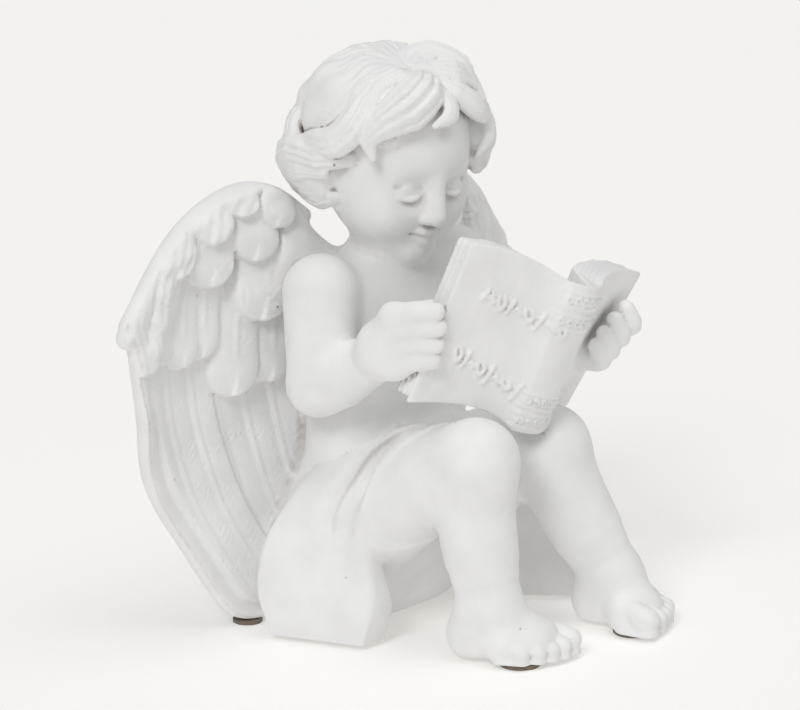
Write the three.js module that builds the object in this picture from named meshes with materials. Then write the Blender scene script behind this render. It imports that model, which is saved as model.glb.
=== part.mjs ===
// A seated cherub reading an open book, cast in one piece, on four thin glued pads.
// Millimetres, +Z up, the figure faces -Y, and its own left is +X.
import * as THREE from "three";
import { mergeVertices } from "three/addons/utils/BufferGeometryUtils.js";
import { edgeTable, triTable } from "three/addons/objects/MarchingCubes.js";

// Driving dimensions, in millimetres.
const HEIGHT = 230; // ground to the top of the hair
const PAD_THICKNESS = 1.6;
const FOOT_PAD_RADIUS = 8;
const WING_PAD_RADIUS = 6;
const GLUE_GAP = 0.3; // left between a pad and the casting above it
const BOOK_TALL = 63; // along the spine
const COVER_WIDE = 44; // one cover, from the spine's edge to the fore-edge
const SPINE_WIDE = 20;
const PAGES_THICK = 9; // one side's pages and cover, at the fore-edge
const WING_THICK = 11;

// The casting is drawn 230 units high, and everything in it is a share of that height.
const DRAWN_HEIGHT = 230;
const SCALE = HEIGHT / DRAWN_HEIGHT;
const SOLE = (PAD_THICKNESS + GLUE_GAP) / SCALE; // the casting's flat underside
const CELL = 2.1; // spacing of the samples the casting's skin is drawn through
const FACES = 9300; // faces left on the casting's skin

const { sin, cos, tan, min, max, abs, hypot, sqrt, exp, PI } = Math;
const v = (x, y, z) => new THREE.Vector3(x, y, z);
const mix = (a, b, t) => a + (b - a) * t;
const clamp01 = (t) => min(1, max(0, t));
const smooth = (t) => clamp01(t) ** 2 * (3 - 2 * clamp01(t));
const rad = THREE.MathUtils.degToRad;
const mirrored = (p) => v(-p.x, p.y, p.z);

// Distance fields: a form is a list of shapes, each joined to or carved from those before it.
const FAR = 1e3;
const join = (a, b, k) => min(a, b) - (max(k - abs(a - b), 0) ** 2 / k) * 0.25;
const carve = (a, b, k) => -join(-a, b, k);

class Form {
  constructor(blend = 1) {
    this.shapes = [];
    this.blend = blend;
    this.lo = v(FAR, FAR, FAR);
    this.hi = v(-FAR, -FAR, -FAR);
  }
  // at(x, y, z) is the distance to the shape, and lo and hi are the corners of its own box.
  add(at, lo, hi, blend = this.blend, cut = false) {
    this.shapes.push({ at, lo, hi, blend, cut });
    if (!cut) {
      this.lo.min(lo);
      this.hi.max(hi);
    }
    return this;
  }
  addForm(form, blend) {
    this.shapes.push({ form, lo: form.lo, hi: form.hi, blend, cut: false });
    this.lo.min(form.lo);
    this.hi.max(form.hi);
  }
  // The same form, with only what can matter in a box.
  near(lo, hi, margin) {
    const kept = new Form(this.blend);
    for (const s of this.shapes) {
      const m = margin + s.blend;
      const misses =
        s.lo.x - m > hi.x || s.lo.y - m > hi.y || s.lo.z - m > hi.z ||
        s.hi.x + m < lo.x || s.hi.y + m < lo.y || s.hi.z + m < lo.z;
      if (misses) continue;
      if (!s.form) {
        kept.shapes.push(s);
        continue;
      }
      const inner = s.form.near(lo, hi, m);
      if (inner.shapes.length) kept.shapes.push({ ...s, at: (x, y, z) => inner.at(x, y, z) });
    }
    return kept;
  }
  at(x, y, z) {
    let d = FAR;
    for (const s of this.shapes) {
      const e = s.at(x, y, z);
      if (s.cut) d = carve(d, e, s.blend);
      else d = join(d, e, s.blend);
    }
    return d;
  }
}

// A ball pulled to three half-axes, turned by a quaternion.
function ellipsoid(form, centre, radii, { turn = null, blend, cut } = {}) {
  const q = turn ? turn.clone().invert() : null;
  const p = v();
  const at = (x, y, z) => {
    p.set(x - centre.x, y - centre.y, z - centre.z);
    if (q) p.applyQuaternion(q);
    const k0 = hypot(p.x / radii.x, p.y / radii.y, p.z / radii.z);
    const k1 = hypot(p.x / radii.x ** 2, p.y / radii.y ** 2, p.z / radii.z ** 2);
    return k1 < 1e-9 ? -min(radii.x, radii.y, radii.z) : (k0 * (k0 - 1)) / k1;
  };
  const reach = q ? v(1, 1, 1).multiplyScalar(max(radii.x, radii.y, radii.z)) : radii;
  form.add(at, centre.clone().sub(reach), centre.clone().add(reach), blend, cut);
}

// A tapered limb through points, each with its own radius.
function limb(form, points, radii, { blend, cut, steps = 0 } = {}) {
  const path = steps ? new THREE.CatmullRomCurve3(points).getPoints(steps) : points;
  const wide = path.map((_, i) => {
    const t = (i / (path.length - 1)) * (radii.length - 1);
    const j = min(radii.length - 2, Math.floor(t));
    return mix(radii[j], radii[j + 1], t - j);
  });
  const spans = path.slice(1).map((b, i) => {
    const a = path[i];
    const ab = b.clone().sub(a);
    return { a, ab, inv: 1 / ab.lengthSq(), ra: wide[i], rb: wide[i + 1] };
  });
  const at = (x, y, z) => {
    let d = FAR;
    for (const { a, ab, inv, ra, rb } of spans) {
      const px = x - a.x, py = y - a.y, pz = z - a.z;
      const t = clamp01((px * ab.x + py * ab.y + pz * ab.z) * inv);
      d = min(d, hypot(px - ab.x * t, py - ab.y * t, pz - ab.z * t) - mix(ra, rb, t));
    }
    return d;
  };
  const box = new THREE.Box3().setFromPoints(path).expandByScalar(max(...radii));
  form.add(at, box.min, box.max, blend, cut);
}

// A flattened, grooved lock of hair or fold of cloth that lies along a curve, with its flat side facing `out`.
function lock(form, points, wides, thicks, out, { blend, steps = 8, grooves = 2, depth = 0.16 } = {}) {
  const curve = new THREE.CatmullRomCurve3(points, false, "centripetal");
  const path = curve.getPoints(steps);
  const along = (list, i) => {
    const t = (i / steps) * (list.length - 1);
    const j = min(list.length - 2, Math.floor(t));
    return mix(list[j], list[j + 1], t - j);
  };
  const spans = path.slice(1).map((b, i) => {
    const a = path[i];
    const ab = b.clone().sub(a);
    const t = ab.clone().normalize();
    const n = out(a.clone().add(b).multiplyScalar(0.5));
    n.addScaledVector(t, -n.dot(t)).normalize();
    return {
      a, ab, t, n, s: t.clone().cross(n), inv: 1 / ab.lengthSq(),
      wa: along(wides, i), wb: along(wides, i + 1), ta: along(thicks, i), tb: along(thicks, i + 1),
    };
  });
  const at = (x, y, z) => {
    let d = FAR;
    for (const o of spans) {
      const px = x - o.a.x, py = y - o.a.y, pz = z - o.a.z;
      const t = clamp01((px * o.ab.x + py * o.ab.y + pz * o.ab.z) * o.inv);
      const qx = px - o.ab.x * t, qy = py - o.ab.y * t, qz = pz - o.ab.z * t;
      const side = qx * o.s.x + qy * o.s.y + qz * o.s.z;
      const up = qx * o.n.x + qy * o.n.y + qz * o.n.z;
      const on = qx * o.t.x + qy * o.t.y + qz * o.t.z;
      const w = mix(o.wa, o.wb, t);
      const h = mix(o.ta, o.tb, t) * (1 + depth * cos((PI * 2 * grooves * side) / w));
      const k0 = hypot(side / w, up / h, on / h);
      const k1 = hypot(side / (w * w), up / (h * h), on / (h * h));
      d = min(d, k1 < 1e-9 ? -h : (k0 * (k0 - 1)) / k1);
    }
    return d;
  };
  const box = new THREE.Box3().setFromPoints(path).expandByScalar(max(...wides, ...thicks));
  form.add(at, box.min, box.max, blend);
}

// The book's own frame: across it, towards the reader, and up its spine.
const SPINE_LEAN = 19; // degrees from upright, top away from the reader
const BOOK_SWING = -5.5; // degrees that the book is turned about its spine
const BOOK_ROLL = 10; // degrees that its right side is held higher than its left
const COVER_RISE = 29.5; // degrees that each cover leans back from flat
const SPINE_FOOT = v(0, -64, 84.5);
const BOOK_TURN = new THREE.Quaternion()
  .setFromEuler(new THREE.Euler(rad(SPINE_LEAN), rad(BOOK_ROLL), rad(BOOK_SWING), "XYZ"));
const bookAcross = v(1, 0, 0).applyQuaternion(BOOK_TURN);
const bookIn = v(0, 1, 0).applyQuaternion(BOOK_TURN);
const bookUp = v(0, 0, 1).applyQuaternion(BOOK_TURN);
const bookTall = BOOK_TALL / SCALE;
const coverWide = COVER_WIDE / SCALE;
const spineHalf = SPINE_WIDE / SCALE / 2;
const pagesThick = PAGES_THICK / SCALE;
const bookHalf = spineHalf + coverWide * cos(rad(COVER_RISE));
const bookPoint = (a, b, h) =>
  SPINE_FOOT.clone().addScaledVector(bookAcross, a).addScaledVector(bookIn, b).addScaledVector(bookUp, h);

// The outer face of spine and covers, and the open pages, over a place across the book and up it.
const COVER_TWIST = 0.4; // share of its rise that the left cover loses from foot to top
const outAlong = (a) => clamp01((abs(a) - spineHalf) / (bookHalf - spineHalf));
function coverFace(a, h) {
  const out = max(0, abs(a) - spineHalf);
  const twist = a > 0 ? 1 - COVER_TWIST * clamp01(h / bookTall) : 1;
  const round = -3 * max(0, 1 - (a / spineHalf) ** 2);
  return tan(rad(COVER_RISE)) * out * twist + round + 3.6 * sin(PI * outAlong(a) ** 0.6);
}
function pageFace(a, h) {
  const gutter = smooth(abs(a) / (spineHalf * 1.3));
  const along = clamp01(abs(a) / bookHalf);
  return coverFace(a, h) + 5 + gutter * (pagesThick - 5 + 11 * (1 - along) ** 1.3 * smooth(along * 7));
}
// The covers' wavy top and bottom edges.
const topEdge = (a) => bookTall + (a < 0 ? 4 : 0.5) * outAlong(a) + 2.5 * sin(PI * outAlong(a));
const bottomEdge = (a) => 4 * sin(PI * outAlong(a) ** 0.65);

function book(casting) {
  const form = new Form(1);
  const slope = cos(rad(COVER_RISE));
  const at = (x, y, z) => {
    const p = v(x, y, z).sub(SPINE_FOOT);
    const a = p.dot(bookAcross), b = p.dot(bookIn), h = p.dot(bookUp);
    const outer = coverFace(a, h), inner = pageFace(a, h);
    const face = max(outer - b, b - inner) * slope;
    const ends = max(bottomEdge(a) - h, h - topEdge(a));
    const sides = abs(a) - bookHalf;
    return carve(carve(face, -ends, 1.4), -sides, 1.4);
  };
  const box = new THREE.Box3();
  for (const a of [-1, 1])
    for (const h of [0, bookTall + 6])
      for (const b of [-8, 36]) box.expandByPoint(bookPoint(a * bookHalf, b, h));
  form.add(at, box.min, box.max);
  // The raised bands round the spine, two near each end.
  for (const share of [0.08, 0.215, 0.755, 0.9]) {
    const h = share * bookTall;
    const band = [-1, -0.5, 0, 0.5, 1].map((s) => {
      const a = s * spineHalf;
      return bookPoint(a, coverFace(a, h) + 0.9, h);
    });
    limb(form, band, [2.4, 2.4], { blend: 0.6 });
  }
  casting.addForm(form, 0.8);
}

// Fingers that hold a cover by its edge. Each is [out, in, up]: how far its tip lies out from the cover's
// edge, in towards the reader and up from the spine's foot; joint and root are counted from the tip.
const RIGHT_HAND = {
  tips: [[4, 0.6, 38], [1.6, -1.2, 32.4], [0, -2, 25.8], [-1, -2.6, 19.6]],
  joint: [3.2, 5, -2.5],
  root: [4.5, 14.5, -9.5],
  wrist: v(-42, -21, 113.5),
  thumb: [-11, 15, 32],
};
const LEFT_HAND = {
  tips: [[-10, -8, 51], [-14.5, -9, 46], [-17.5, -10, 40], [-19, -10.5, 34.5]],
  joint: [4.5, -3, -6],
  root: [4, 9, -10.5],
  wrist: v(54, -31, 104),
  thumb: [-9, 16, 38],
};
function hand(form, side, { tips, joint, root, wrist, thumb }) {
  const edge = ([out, inward, up]) =>
    bookPoint(side * (bookHalf + out), coverFace(bookHalf * side, up) + inward, up);
  const fist = new Form(1);
  const roots = tips.map((tip, i) => {
    const past = (offset, share) => edge(tip.map((n, k) => n + offset[k] * share));
    const length = [1, 1.04, 1, 0.86][i];
    limb(fist, [past(root, length), past(joint, length), past(joint, 0)], [4.5, 4.3, 4, 3.4],
      { blend: 0.7, steps: 6 });
    return past(root, length);
  });
  const knuckles = roots[1].clone().add(roots[2]).multiplyScalar(0.5);
  const palm = knuckles.clone().lerp(wrist, 0.4);
  for (const place of roots) limb(fist, [place, place.clone().lerp(palm, 0.7)], [5.2, 8], { blend: 4 });
  limb(fist, [wrist, palm], [9.6, 10.5], { blend: 6 });
  const thumbTip = edge(thumb);
  limb(fist, [palm, palm.clone().lerp(thumbTip, 0.55).add(v(0, 3, 2)), thumbTip], [7, 5.4, 4.4],
    { blend: 3, steps: 5 });
  form.addForm(fist, 1);
}

const SHOULDER = v(40, 6, 136);
const ELBOW = v(45, 3, 101);
const KNEE_RIGHT = v(-28, -61, 77.5), KNEE_LEFT = v(22, -57, 73);
const ANKLE_RIGHT = v(-25, -66, 21), ANKLE_LEFT = v(40, -76, 20);
const TOES_RIGHT = v(-13, -90, 6), TOES_LEFT = v(43, -99, 6);
const HIP_RIGHT = v(-24, 6, 40), HIP_LEFT = v(24, 6, 40);
const THIGH = [25, 20.5, 15.5];
// Toes from the little one on the outer side to the big one: how far out and ahead of the ball, and radius.
const RIGHT_TOES = [[10.5, -3.5, 3.3], [7, 2.2, 3.3], [3, 6.6, 3.4], [-1.8, 9.8, 3.7], [-8, 11.6, 4.7]];
const LEFT_TOES = [[14, 2.6, 3.4], [8.4, 5.4, 3.5], [2.8, 7, 3.6], [-3.2, 7.8, 3.9], [-11, 7.2, 5.2]];

// One arm from shoulder to wrist, its hand on the book's edge.
function arm(casting, shoulder, elbow, side, grip) {
  const form = new Form(5);
  const { wrist } = grip;
  limb(form, [shoulder, shoulder.clone().lerp(elbow, 0.5).add(v(side, -1, 0)), elbow], [15, 13.6, 11.8],
    { blend: 5, steps: 6 });
  limb(form, [elbow, elbow.clone().lerp(wrist, 0.45).add(v(side, 0, -1)), wrist], [11.8, 12.2, 9.6],
    { blend: 4, steps: 6 });
  hand(form, side, grip);
  casting.addForm(form, 3);
}

function torso(casting) {
  const form = new Form(14);
  ellipsoid(form, v(0, 12, 38), v(42, 35, 34));
  ellipsoid(form, v(0, 7, 78), v(36.5, 28, 34));
  ellipsoid(form, v(0, 7, 116), v(36, 24, 30));
  limb(form, [v(-32, 7, 134), v(32, 7, 134)], [13, 13], { blend: 12 });
  limb(form, [v(0, 7, 138), v(-2, 0, 158)], [17, 16], { blend: 10 });
  casting.addForm(form, 3);
}

function leg(casting, hip, knee, ankle, toes, places) {
  const form = new Form(6);
  const calf = knee.clone().lerp(ankle, 0.42).add(v(0, 2.5, 0));
  limb(form, [hip, hip.clone().lerp(knee, 0.5).add(v(0, 0, 3)), knee], THIGH, { steps: 6 });
  limb(form, [knee, calf, ankle], [15.5, 15.2, 14.8, 11], { steps: 8 });
  const ahead = toes.clone().sub(ankle).setZ(0).normalize();
  const outer = knee.x < 0 ? -1 : 1;
  const across = v(-ahead.y, ahead.x, 0).multiplyScalar(outer);
  const heel = ankle.clone().addScaledVector(ahead, -6).setZ(10);
  const ball = toes.clone().addScaledVector(ahead, -11).setZ(8);
  const onFoot = (out, reach, z) =>
    ball.clone().addScaledVector(across, out).addScaledVector(ahead, reach).setZ(z);
  limb(form, [ankle, heel], [11, 10], { blend: 5 });
  limb(form, [ankle.clone().add(v(0, 0, -2)), ball], [11.5, 7.6], { blend: 6 });
  limb(form, [heel, ball], [9, 8.5], { blend: 6 });
  const little = places[0], big = places.at(-1);
  const root = [onFoot(little[0] - 2.5, little[1] - 6, 8), onFoot(big[0] + 3, big[1] - 9, 8)];
  limb(form, root, [6.4, 7.6], { blend: 4 });
  // Each toe narrows behind its round tip, over a flat edge of the sole.
  for (const [out, reach, size] of places) {
    const tip = onFoot(out, reach + 2, size + 2.8);
    const toe = [onFoot(out * 0.8, reach - 9, 8.5), onFoot(out, reach - 3, size + 5), tip];
    limb(form, toe, [size, size * 0.82, size], { blend: 0.6, steps: 4 });
    const sole = tip.clone().setZ(SOLE);
    limb(form, [sole, sole.clone().addScaledVector(ahead, -8)], [size, size], { blend: 1.2 });
  }
  casting.addForm(form, 2.5);
}

// A flat cut through a place: what lies beyond it, the way `outward` points, comes off.
function slice(form, through, outward, blend) {
  const n = outward.clone().normalize();
  const at = (x, y, z) => -((x - through.x) * n.x + (y - through.y) * n.y + (z - through.z) * n.z);
  form.add(at, v(-FAR, -FAR, -FAR), v(FAR, FAR, FAR), blend, true);
}

// The cloth's side flaps. Each face is how far it lies out from the middle, a row for each place from front to
// back, a column for each height. Front and back are where the flap ends, at the same heights.
const FLAP_LOW = 2, FLAP_STEP = 14.8;
const FLAP_BACK = [14.5, 19, 20.5, 20.5, 17, 12];
const RIGHT_FLAP = {
  start: -31, step: 17,
  face: [[52, 48.6, 42.5, 42, 43, 33], [57.5, 54.2, 47, 46, 45.5, 34], [63, 60.6, 52.5, 49, 43, 31],
    [68, 68, 65.5, 54.5, 40, 22]],
  front: [-23.5, -27, -22, -21.5, -25, -30],
  hem: [v(-62.5, 14, 2), v(-0.95, -0.305, -0.07)],
};
const LEFT_FLAP = {
  start: -56, step: 19,
  face: [[66, 65, 57, 52, 49, 39], [65.5, 64, 56, 51, 47.5, 37], [65, 63, 55, 50, 46, 34],
    [64.5, 62.5, 55, 50, 43, 31], [68, 68, 65.5, 54.5, 40, 22]],
  front: [-54, -54, -50, -36, -27, -30],
  hem: [v(62.5, 14, 2), v(0.997, 0.05, -0.07)],
};

// A smooth curve through a row's values, and a smooth surface through a table's, at a place counted in steps.
function readRow(row, at) {
  const u = min(row.length - 1.001, max(0, at));
  const i = Math.floor(u), t = u - i;
  const [a, b, c, d] = [-1, 0, 1, 2].map((n) => row[min(row.length - 1, max(0, i + n))]);
  return b + 0.5 * t * (c - a + t * (2 * a - 5 * b + 4 * c - d + t * (3 * (b - c) + d - a)));
}
const readTable = (table, u, w) => readRow(table.map((row) => readRow(row, w)), u);

function flap(casting, side, { start, step, face, front, hem }) {
  const form = new Form(1.5);
  const at = (x, y, z) => {
    const out = side * x;
    const up = (z - FLAP_LOW) / FLAP_STEP;
    let d = (out - readTable(face, (y - start) / step, up)) * 0.85;
    d = carve(d, y - readRow(front, up), 3);
    d = carve(d, readRow(FLAP_BACK, up) - y, 7);
    d = carve(d, out - 35, 3);
    return carve(d, 77 - z, 8);
  };
  if (side < 0) form.add(at, v(-70, -34, 0), v(-35, 28, 78));
  else form.add(at, v(35, -57, 0), v(70, 28, 78));
  slice(form, ...hem, 0.8);
  if (side > 0) slice(form, v(42, -30, SOLE), v(-0.79, -0.61, 0.09), 1.6);
  casting.addForm(form, 1.5);
}

// Two soft valleys in the cloth, running down from the hip.
function valleys(casting, side) {
  const runs = [
    [[51, -5, 40], [50.8, -4, 54], [44, -8, 68], [34, -12, 78], [25, -15, 83]],
    [[48.8, -11, 24], [48, -10.5, 40], [48, -14, 56], [40.5, -21, 72], [30, -29, 84]],
  ];
  for (const places of runs)
    limb(casting, places.map(([x, y, z]) => v(side * x, y, z)), [1, 3.2, 3.8, 3.2, 1.5],
      { blend: 5, cut: true, steps: 10 });
}

// The cloth over one thigh, ending in an edge that runs up over it to the lap.
function wrap(casting, side, hip, knee) {
  const form = new Form(1);
  limb(form, [hip, hip.clone().lerp(knee, 0.5).add(v(0, 0, 3)), knee], THIGH.map((r) => r + 1.4), { steps: 6 });
  slice(form, v(side * 44, -27, 64), v(side * 0.634, -0.766, -0.114), 1.2);
  slice(form, v(0, 0, 30), v(0, 0, -1), 2);
  casting.addForm(form, 0.8);
}

// The cloth under and behind the seated figure, and stretched over the lap between the thighs.
function seat(casting) {
  const form = new Form(8);
  ellipsoid(form, v(0, 10, 26), v(52, 36, 30));
  slice(form, v(0, -5, SOLE), v(0, -0.86, -0.52), 4);
  casting.addForm(form, 6);
}
function lap(casting) {
  limb(casting, [v(-24, -28, 70), v(0, -27, 68), v(24, -28, 68)], [13, 11, 13], { blend: 8 });
  limb(casting, [v(0, 0, 70), v(0, -34, 68)], [14, 11], { blend: 8 });
}

// The head's own frame: it is turned a little to the figure's right and looks down at the book.
const HEAD = v(-4, 1, 186);
const HEAD_SIZE = 0.87; // the head is drawn at this share of its own units
const HEAD_TURN = new THREE.Quaternion().setFromEuler(new THREE.Euler(rad(20), 0, rad(-12), "ZYX"));
const headPoint = (x, y, z) => v(x, y, z).multiplyScalar(HEAD_SIZE).applyQuaternion(HEAD_TURN).add(HEAD);
const headSized = (list) => list.map((n) => n * HEAD_SIZE);
const SKULL = v(34, 38, 37);

function head(casting) {
  const form = new Form(8);
  const turn = HEAD_TURN;
  const part = (x, y, z, rx, ry, rz, more) =>
    ellipsoid(form, headPoint(x, y, z), v(rx, ry, rz).multiplyScalar(HEAD_SIZE), { turn, ...more });
  part(0, 3, 6, SKULL.x, SKULL.y, SKULL.z);
  part(0, -9, -15, 27, 25, 25, { blend: 12 });
  for (const s of [-1, 1]) part(s * 14, -18, -15, 13, 14, 13, { blend: 8 });
  part(0, -23, -31, 9, 9, 8, { blend: 8 });
  // Eye hollows, then the eyeballs with their lowered lids.
  for (const s of [-1, 1]) {
    part(s * 12.5, -39, -1, 9, 8, 6, { blend: 7, cut: true });
    part(s * 12.5, -25.5, -2, 7.2, 7, 6, { blend: 1.5 });
    limb(form, [headPoint(s * 6, -31, -2.6), headPoint(s * 12.5, -33.4, -4), headPoint(s * 19, -29, -2.6)],
      [0.8, 1.1, 0.8], { blend: 0.8, steps: 6 });
  }
  limb(form, [headPoint(0, -33, 2), headPoint(0, -38.5, -10.5)], [3, 3.6], { blend: 4 });
  part(0, -39, -12.5, 4, 3.8, 3.4, { blend: 2 });
  for (const s of [-1, 1]) part(s * 4, -36.5, -13.5, 2.6, 3, 2.4, { blend: 1.5 });
  for (const s of [-1, 1])
    limb(form, [headPoint(s * 8, -32, -21.5), headPoint(s * 3, -36, -20), headPoint(0, -36, -20.8)],
      [1, 2, 1.8], { blend: 1.6, steps: 6 });
  limb(form, [headPoint(-6, -33, -24), headPoint(0, -35, -25), headPoint(6, -33, -24)], [1.2, 2.4, 1.2],
    { blend: 2, steps: 6 });
  part(0, -31.5, -33, 6, 4, 4.5, { blend: 5 });
  casting.addForm(form, 5);
}

// A place over the skull: degrees round from the face, degrees up, and height off the skull.
function scalp(round, up, off = 0) {
  const a = rad(round), e = rad(up);
  return headPoint(
    (SKULL.x + off) * sin(a) * cos(e),
    3 - (SKULL.y + off) * cos(a) * cos(e),
    6 + (SKULL.z + off) * sin(e),
  );
}

// Each lock is its places [degrees round from the face, degrees up, height off the skull] and its half widths.
const LOCKS = [
  // Over the brow, from the parting to the right temple, and small curls beside the parting.
  [[[2, 76, 1], [-16, 60, 5], [-36, 44, 7], [-51, 31, 8], [-57, 20, 8], [-51, 9, 8]], [4, 10, 11, 7.5, 4.5, 1.6]],
  [[[8, 66, 1], [9, 52, 5], [3, 41, 7], [-14, 35, 7]], [2.5, 4.5, 4.2, 1.6]],
  [[[-34, 78, 1], [-52, 64, 4], [-66, 50, 5], [-65, 36, 6], [-61, 22, 5]], [3, 7, 6.5, 5, 2]],
  [[[-44, 72, 2], [-66, 59, 5], [-79, 48, 6], [-78, 37, 7], [-71, 28, 6.5]], [2.5, 4.6, 4.6, 3, 1.4]],
  // From the crown to the right ear, ending in an upturned curl.
  [[[-58, 64, 2], [-70, 42, 5.5], [-70, 23, 8], [-77, 10, 9], [-91, 4, 9.5], [-104, -2, 10]],
    [3, 7, 8, 7.5, 5.5, 2]],
  [[[-96, 72, 0], [-88, 56, 2.5], [-88, 36, 3.5], [-93, 19, 5], [-104, 8, 7]], [4, 7.5, 7.5, 6.5, 3]],
  [[[-136, 70, 0], [-124, 58, 2], [-114, 48, 3.5], [-111, 37, 4.5], [-101, 28, 5]], [4, 6.5, 6.5, 4.5, 1.8]],
  [[[-112, 44, 0], [-110, 30, 2], [-114, 14, 4], [-124, 4, 7]], [4, 7, 7, 3]],
  [[[-170, 66, 0], [-150, 48, 2.5], [-144, 32, 3.5], [-137, 14, 4.5], [-132, 2, 8]], [5, 9, 9, 7.5, 3]],
  // Curls that roll outwards over the right ear, and short locks at the nape.
  [[[-110, 15, 3], [-123, 3, 8], [-113, -6, 10], [-96, -6, 9.5], [-80, -1, 7]], [4, 6.5, 6.5, 5.5, 2]],
  [[[-68, 1, 2], [-86, -4, 9], [-106, -9, 12], [-117, -20, 12.5], [-110, -33, 10], [-90, -37, 8], [-73, -29, 5]],
    [3.5, 6.5, 7.5, 8, 7.5, 6, 2.5]],
  [[[-80, -12, 8], [-96, -16, 12], [-104, -24, 12.5], [-95, -31, 10], [-82, -28, 8]], [3, 5, 5.5, 4.5, 2]],
  [[[-86, -34, 3], [-74, -42, 4], [-62, -46, 2]], [5, 4.5, 2]],
  [[[-66, -18, 1], [-64, -30, 2.5], [-56, -39, 1.5]], [3, 3, 1.5]],
  // From the parting over the left brow and temple.
  [[[150, 74, 2], [104, 68, 6], [78, 54, 9], [66, 45, 9.5]], [5, 8.5, 8.5, 4]],
  [[[24, 80, 2], [58, 60, 6], [67, 45, 8], [61, 34, 10]], [4, 8, 7, 3]],
  [[[20, 70, 1], [30, 52, 5.5], [43, 38, 7.5], [56, 30, 8.5], [66, 35, 9.5]], [3, 6.5, 7, 5.5, 2]],
  [[[70, 34, 3], [62, 22, 8], [54, 11, 8.5], [45, 4, 5]], [5, 7, 6, 2.4]],
  [[[84, 24, 4], [74, 6, 9], [62, -6, 8], [52, -6, 5]], [5, 8, 6.5, 2.4]],
  [[[96, 60, 2], [90, 40, 6], [92, 20, 8], [100, 4, 9]], [5, 9, 8.5, 4]],
  [[[78, 0, 2], [94, -6, 9], [110, -14, 12], [114, -27, 11], [96, -36, 8], [78, -30, 5]], [4, 7, 8, 8, 6, 2.5]],
];
function hair(casting) {
  const form = new Form(0.9);
  const middle = headPoint(0, 3, 6);
  const out = (p) => p.clone().sub(middle).normalize();
  const strand = (places, wides, thick = 0.62) =>
    lock(form, places.map(([r, u, o]) => scalp(r, u, o - 1)), headSized(wides),
      headSized(wides.map((w) => w * thick)), out, { steps: 10, grooves: 1.5, depth: 0.15 });
  // A cap that the locks lie on, open over the face, and the soft mass under the curls at the sides.
  const cap = v(34.5, 34, 33.5).multiplyScalar(HEAD_SIZE);
  ellipsoid(form, headPoint(0, 10, 10), cap, { turn: HEAD_TURN, blend: 3 });
  for (const side of [-1, 1]) ellipsoid(form, scalp(side * 98, -20, 1), v(9, 11, 12), { blend: 5 });
  ellipsoid(form, scalp(64, 10, 0), v(7, 9, 13), { blend: 3 });
  for (const round of [-128, -106]) ellipsoid(form, scalp(round, 14, 0), v(8, 9, 11), { blend: 3 });
  // Broad locks that fan out from the crown, under the others.
  for (const r of [-165, -142, -120, -98, -76, -54, 84])
    strand([[r * 0.8, 82, 0], [r - 5, 60, 2], [r + 2, 40, 2.5], [r + 6, 22, 2]], [5, 10.5, 11, 8], 0.42);
  for (const [places, wides] of LOCKS) strand(places, wides);
  // The back of the head, in two rows of locks that sweep apart from the crown.
  [-168, 172, 150, 128, 108].forEach((r, i) => {
    const sweep = r < 0 ? -12 : 12;
    strand([[r * 0.8, 78, 0], [r - sweep, 56, 3], [r, 34, 4], [r + sweep * 0.6, 14, 6]], [4, 9, 9, 4], 0.5);
    const low = r + (i % 2 ? 9 : -9);
    strand([[low - sweep * 0.5, 34, 3], [low, 12, 7], [low + sweep * 0.6, -6, 8], [low + sweep * 1.4, -16, 11]],
      [5, 8.5, 8, 3], 0.55);
    strand([[low + 8, 4, 2], [low + 4, -14, 5], [low - sweep, -28, 6], [low - sweep * 1.5, -36, 9]],
      [4, 8, 7, 3], 0.55);
  });
  casting.addForm(form, 1);
}

// The wing's outline, as places out from the middle and up from the ground.
const OUTLINE = [
  [8, 140], [20, 152], [28, 163], [38, 173], [53, 177], [68, 173], [82, 165], [92, 157], [101, 147], [108, 138],
  [115, 130], [111.5, 121], [109.5, 108], [106.5, 92], [100.5, 72], [91.5, 53], [80, 35], [70, 18], [60, 5],
  [45, 1], [31, 4], [22, 20], [14, 60], [8, 110],
].map(([a, z]) => new THREE.Vector2(a, z));
const outline = new THREE.SplineCurve([...OUTLINE, OUTLINE[0]]).getPoints(90).slice(0, -1);

// Signed distance to the outline, negative inside it.
function toOutline(a, z) {
  let best = FAR;
  let inside = false;
  for (let i = 0, j = outline.length - 1; i < outline.length; j = i++) {
    const p = outline[i], q = outline[j];
    const ex = q.x - p.x, ey = q.y - p.y, wx = a - p.x, wy = z - p.y;
    const t = clamp01((wx * ex + wy * ey) / (ex * ex + ey * ey));
    best = min(best, hypot(wx - ex * t, wy - ey * t));
    if (p.y > z !== q.y > z && a < (ex * (z - p.y)) / ey + p.x) inside = !inside;
  }
  return inside ? -best : best;
}

// One feather: a curve from root to tip, its half width, and how high its root and tip stand.
const feather = (points, wide, low, high) => ({
  path: new THREE.SplineCurve(points.map(([a, z]) => new THREE.Vector2(a, z))).getPoints(8),
  wide, low, high,
});
const FEATHERS = [];
for (let i = 0; i < 7; i++) {
  // Long flight feathers. The outer three lie in front of the others.
  const t = i / 6;
  const step = i < 3 ? 3.8 : 1.8;
  FEATHERS.push(feather(
    [[106 - 78 * t, 118 - 10 * t], [103 - 80 * t, 88 - 6 * t], [88 - 74 * t, 50 - 4 * t],
      [62 - 56 * t, 8 + 6 * t]], 11, step - 0.6 * t, step + 0.4 - 0.6 * t));
}
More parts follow.
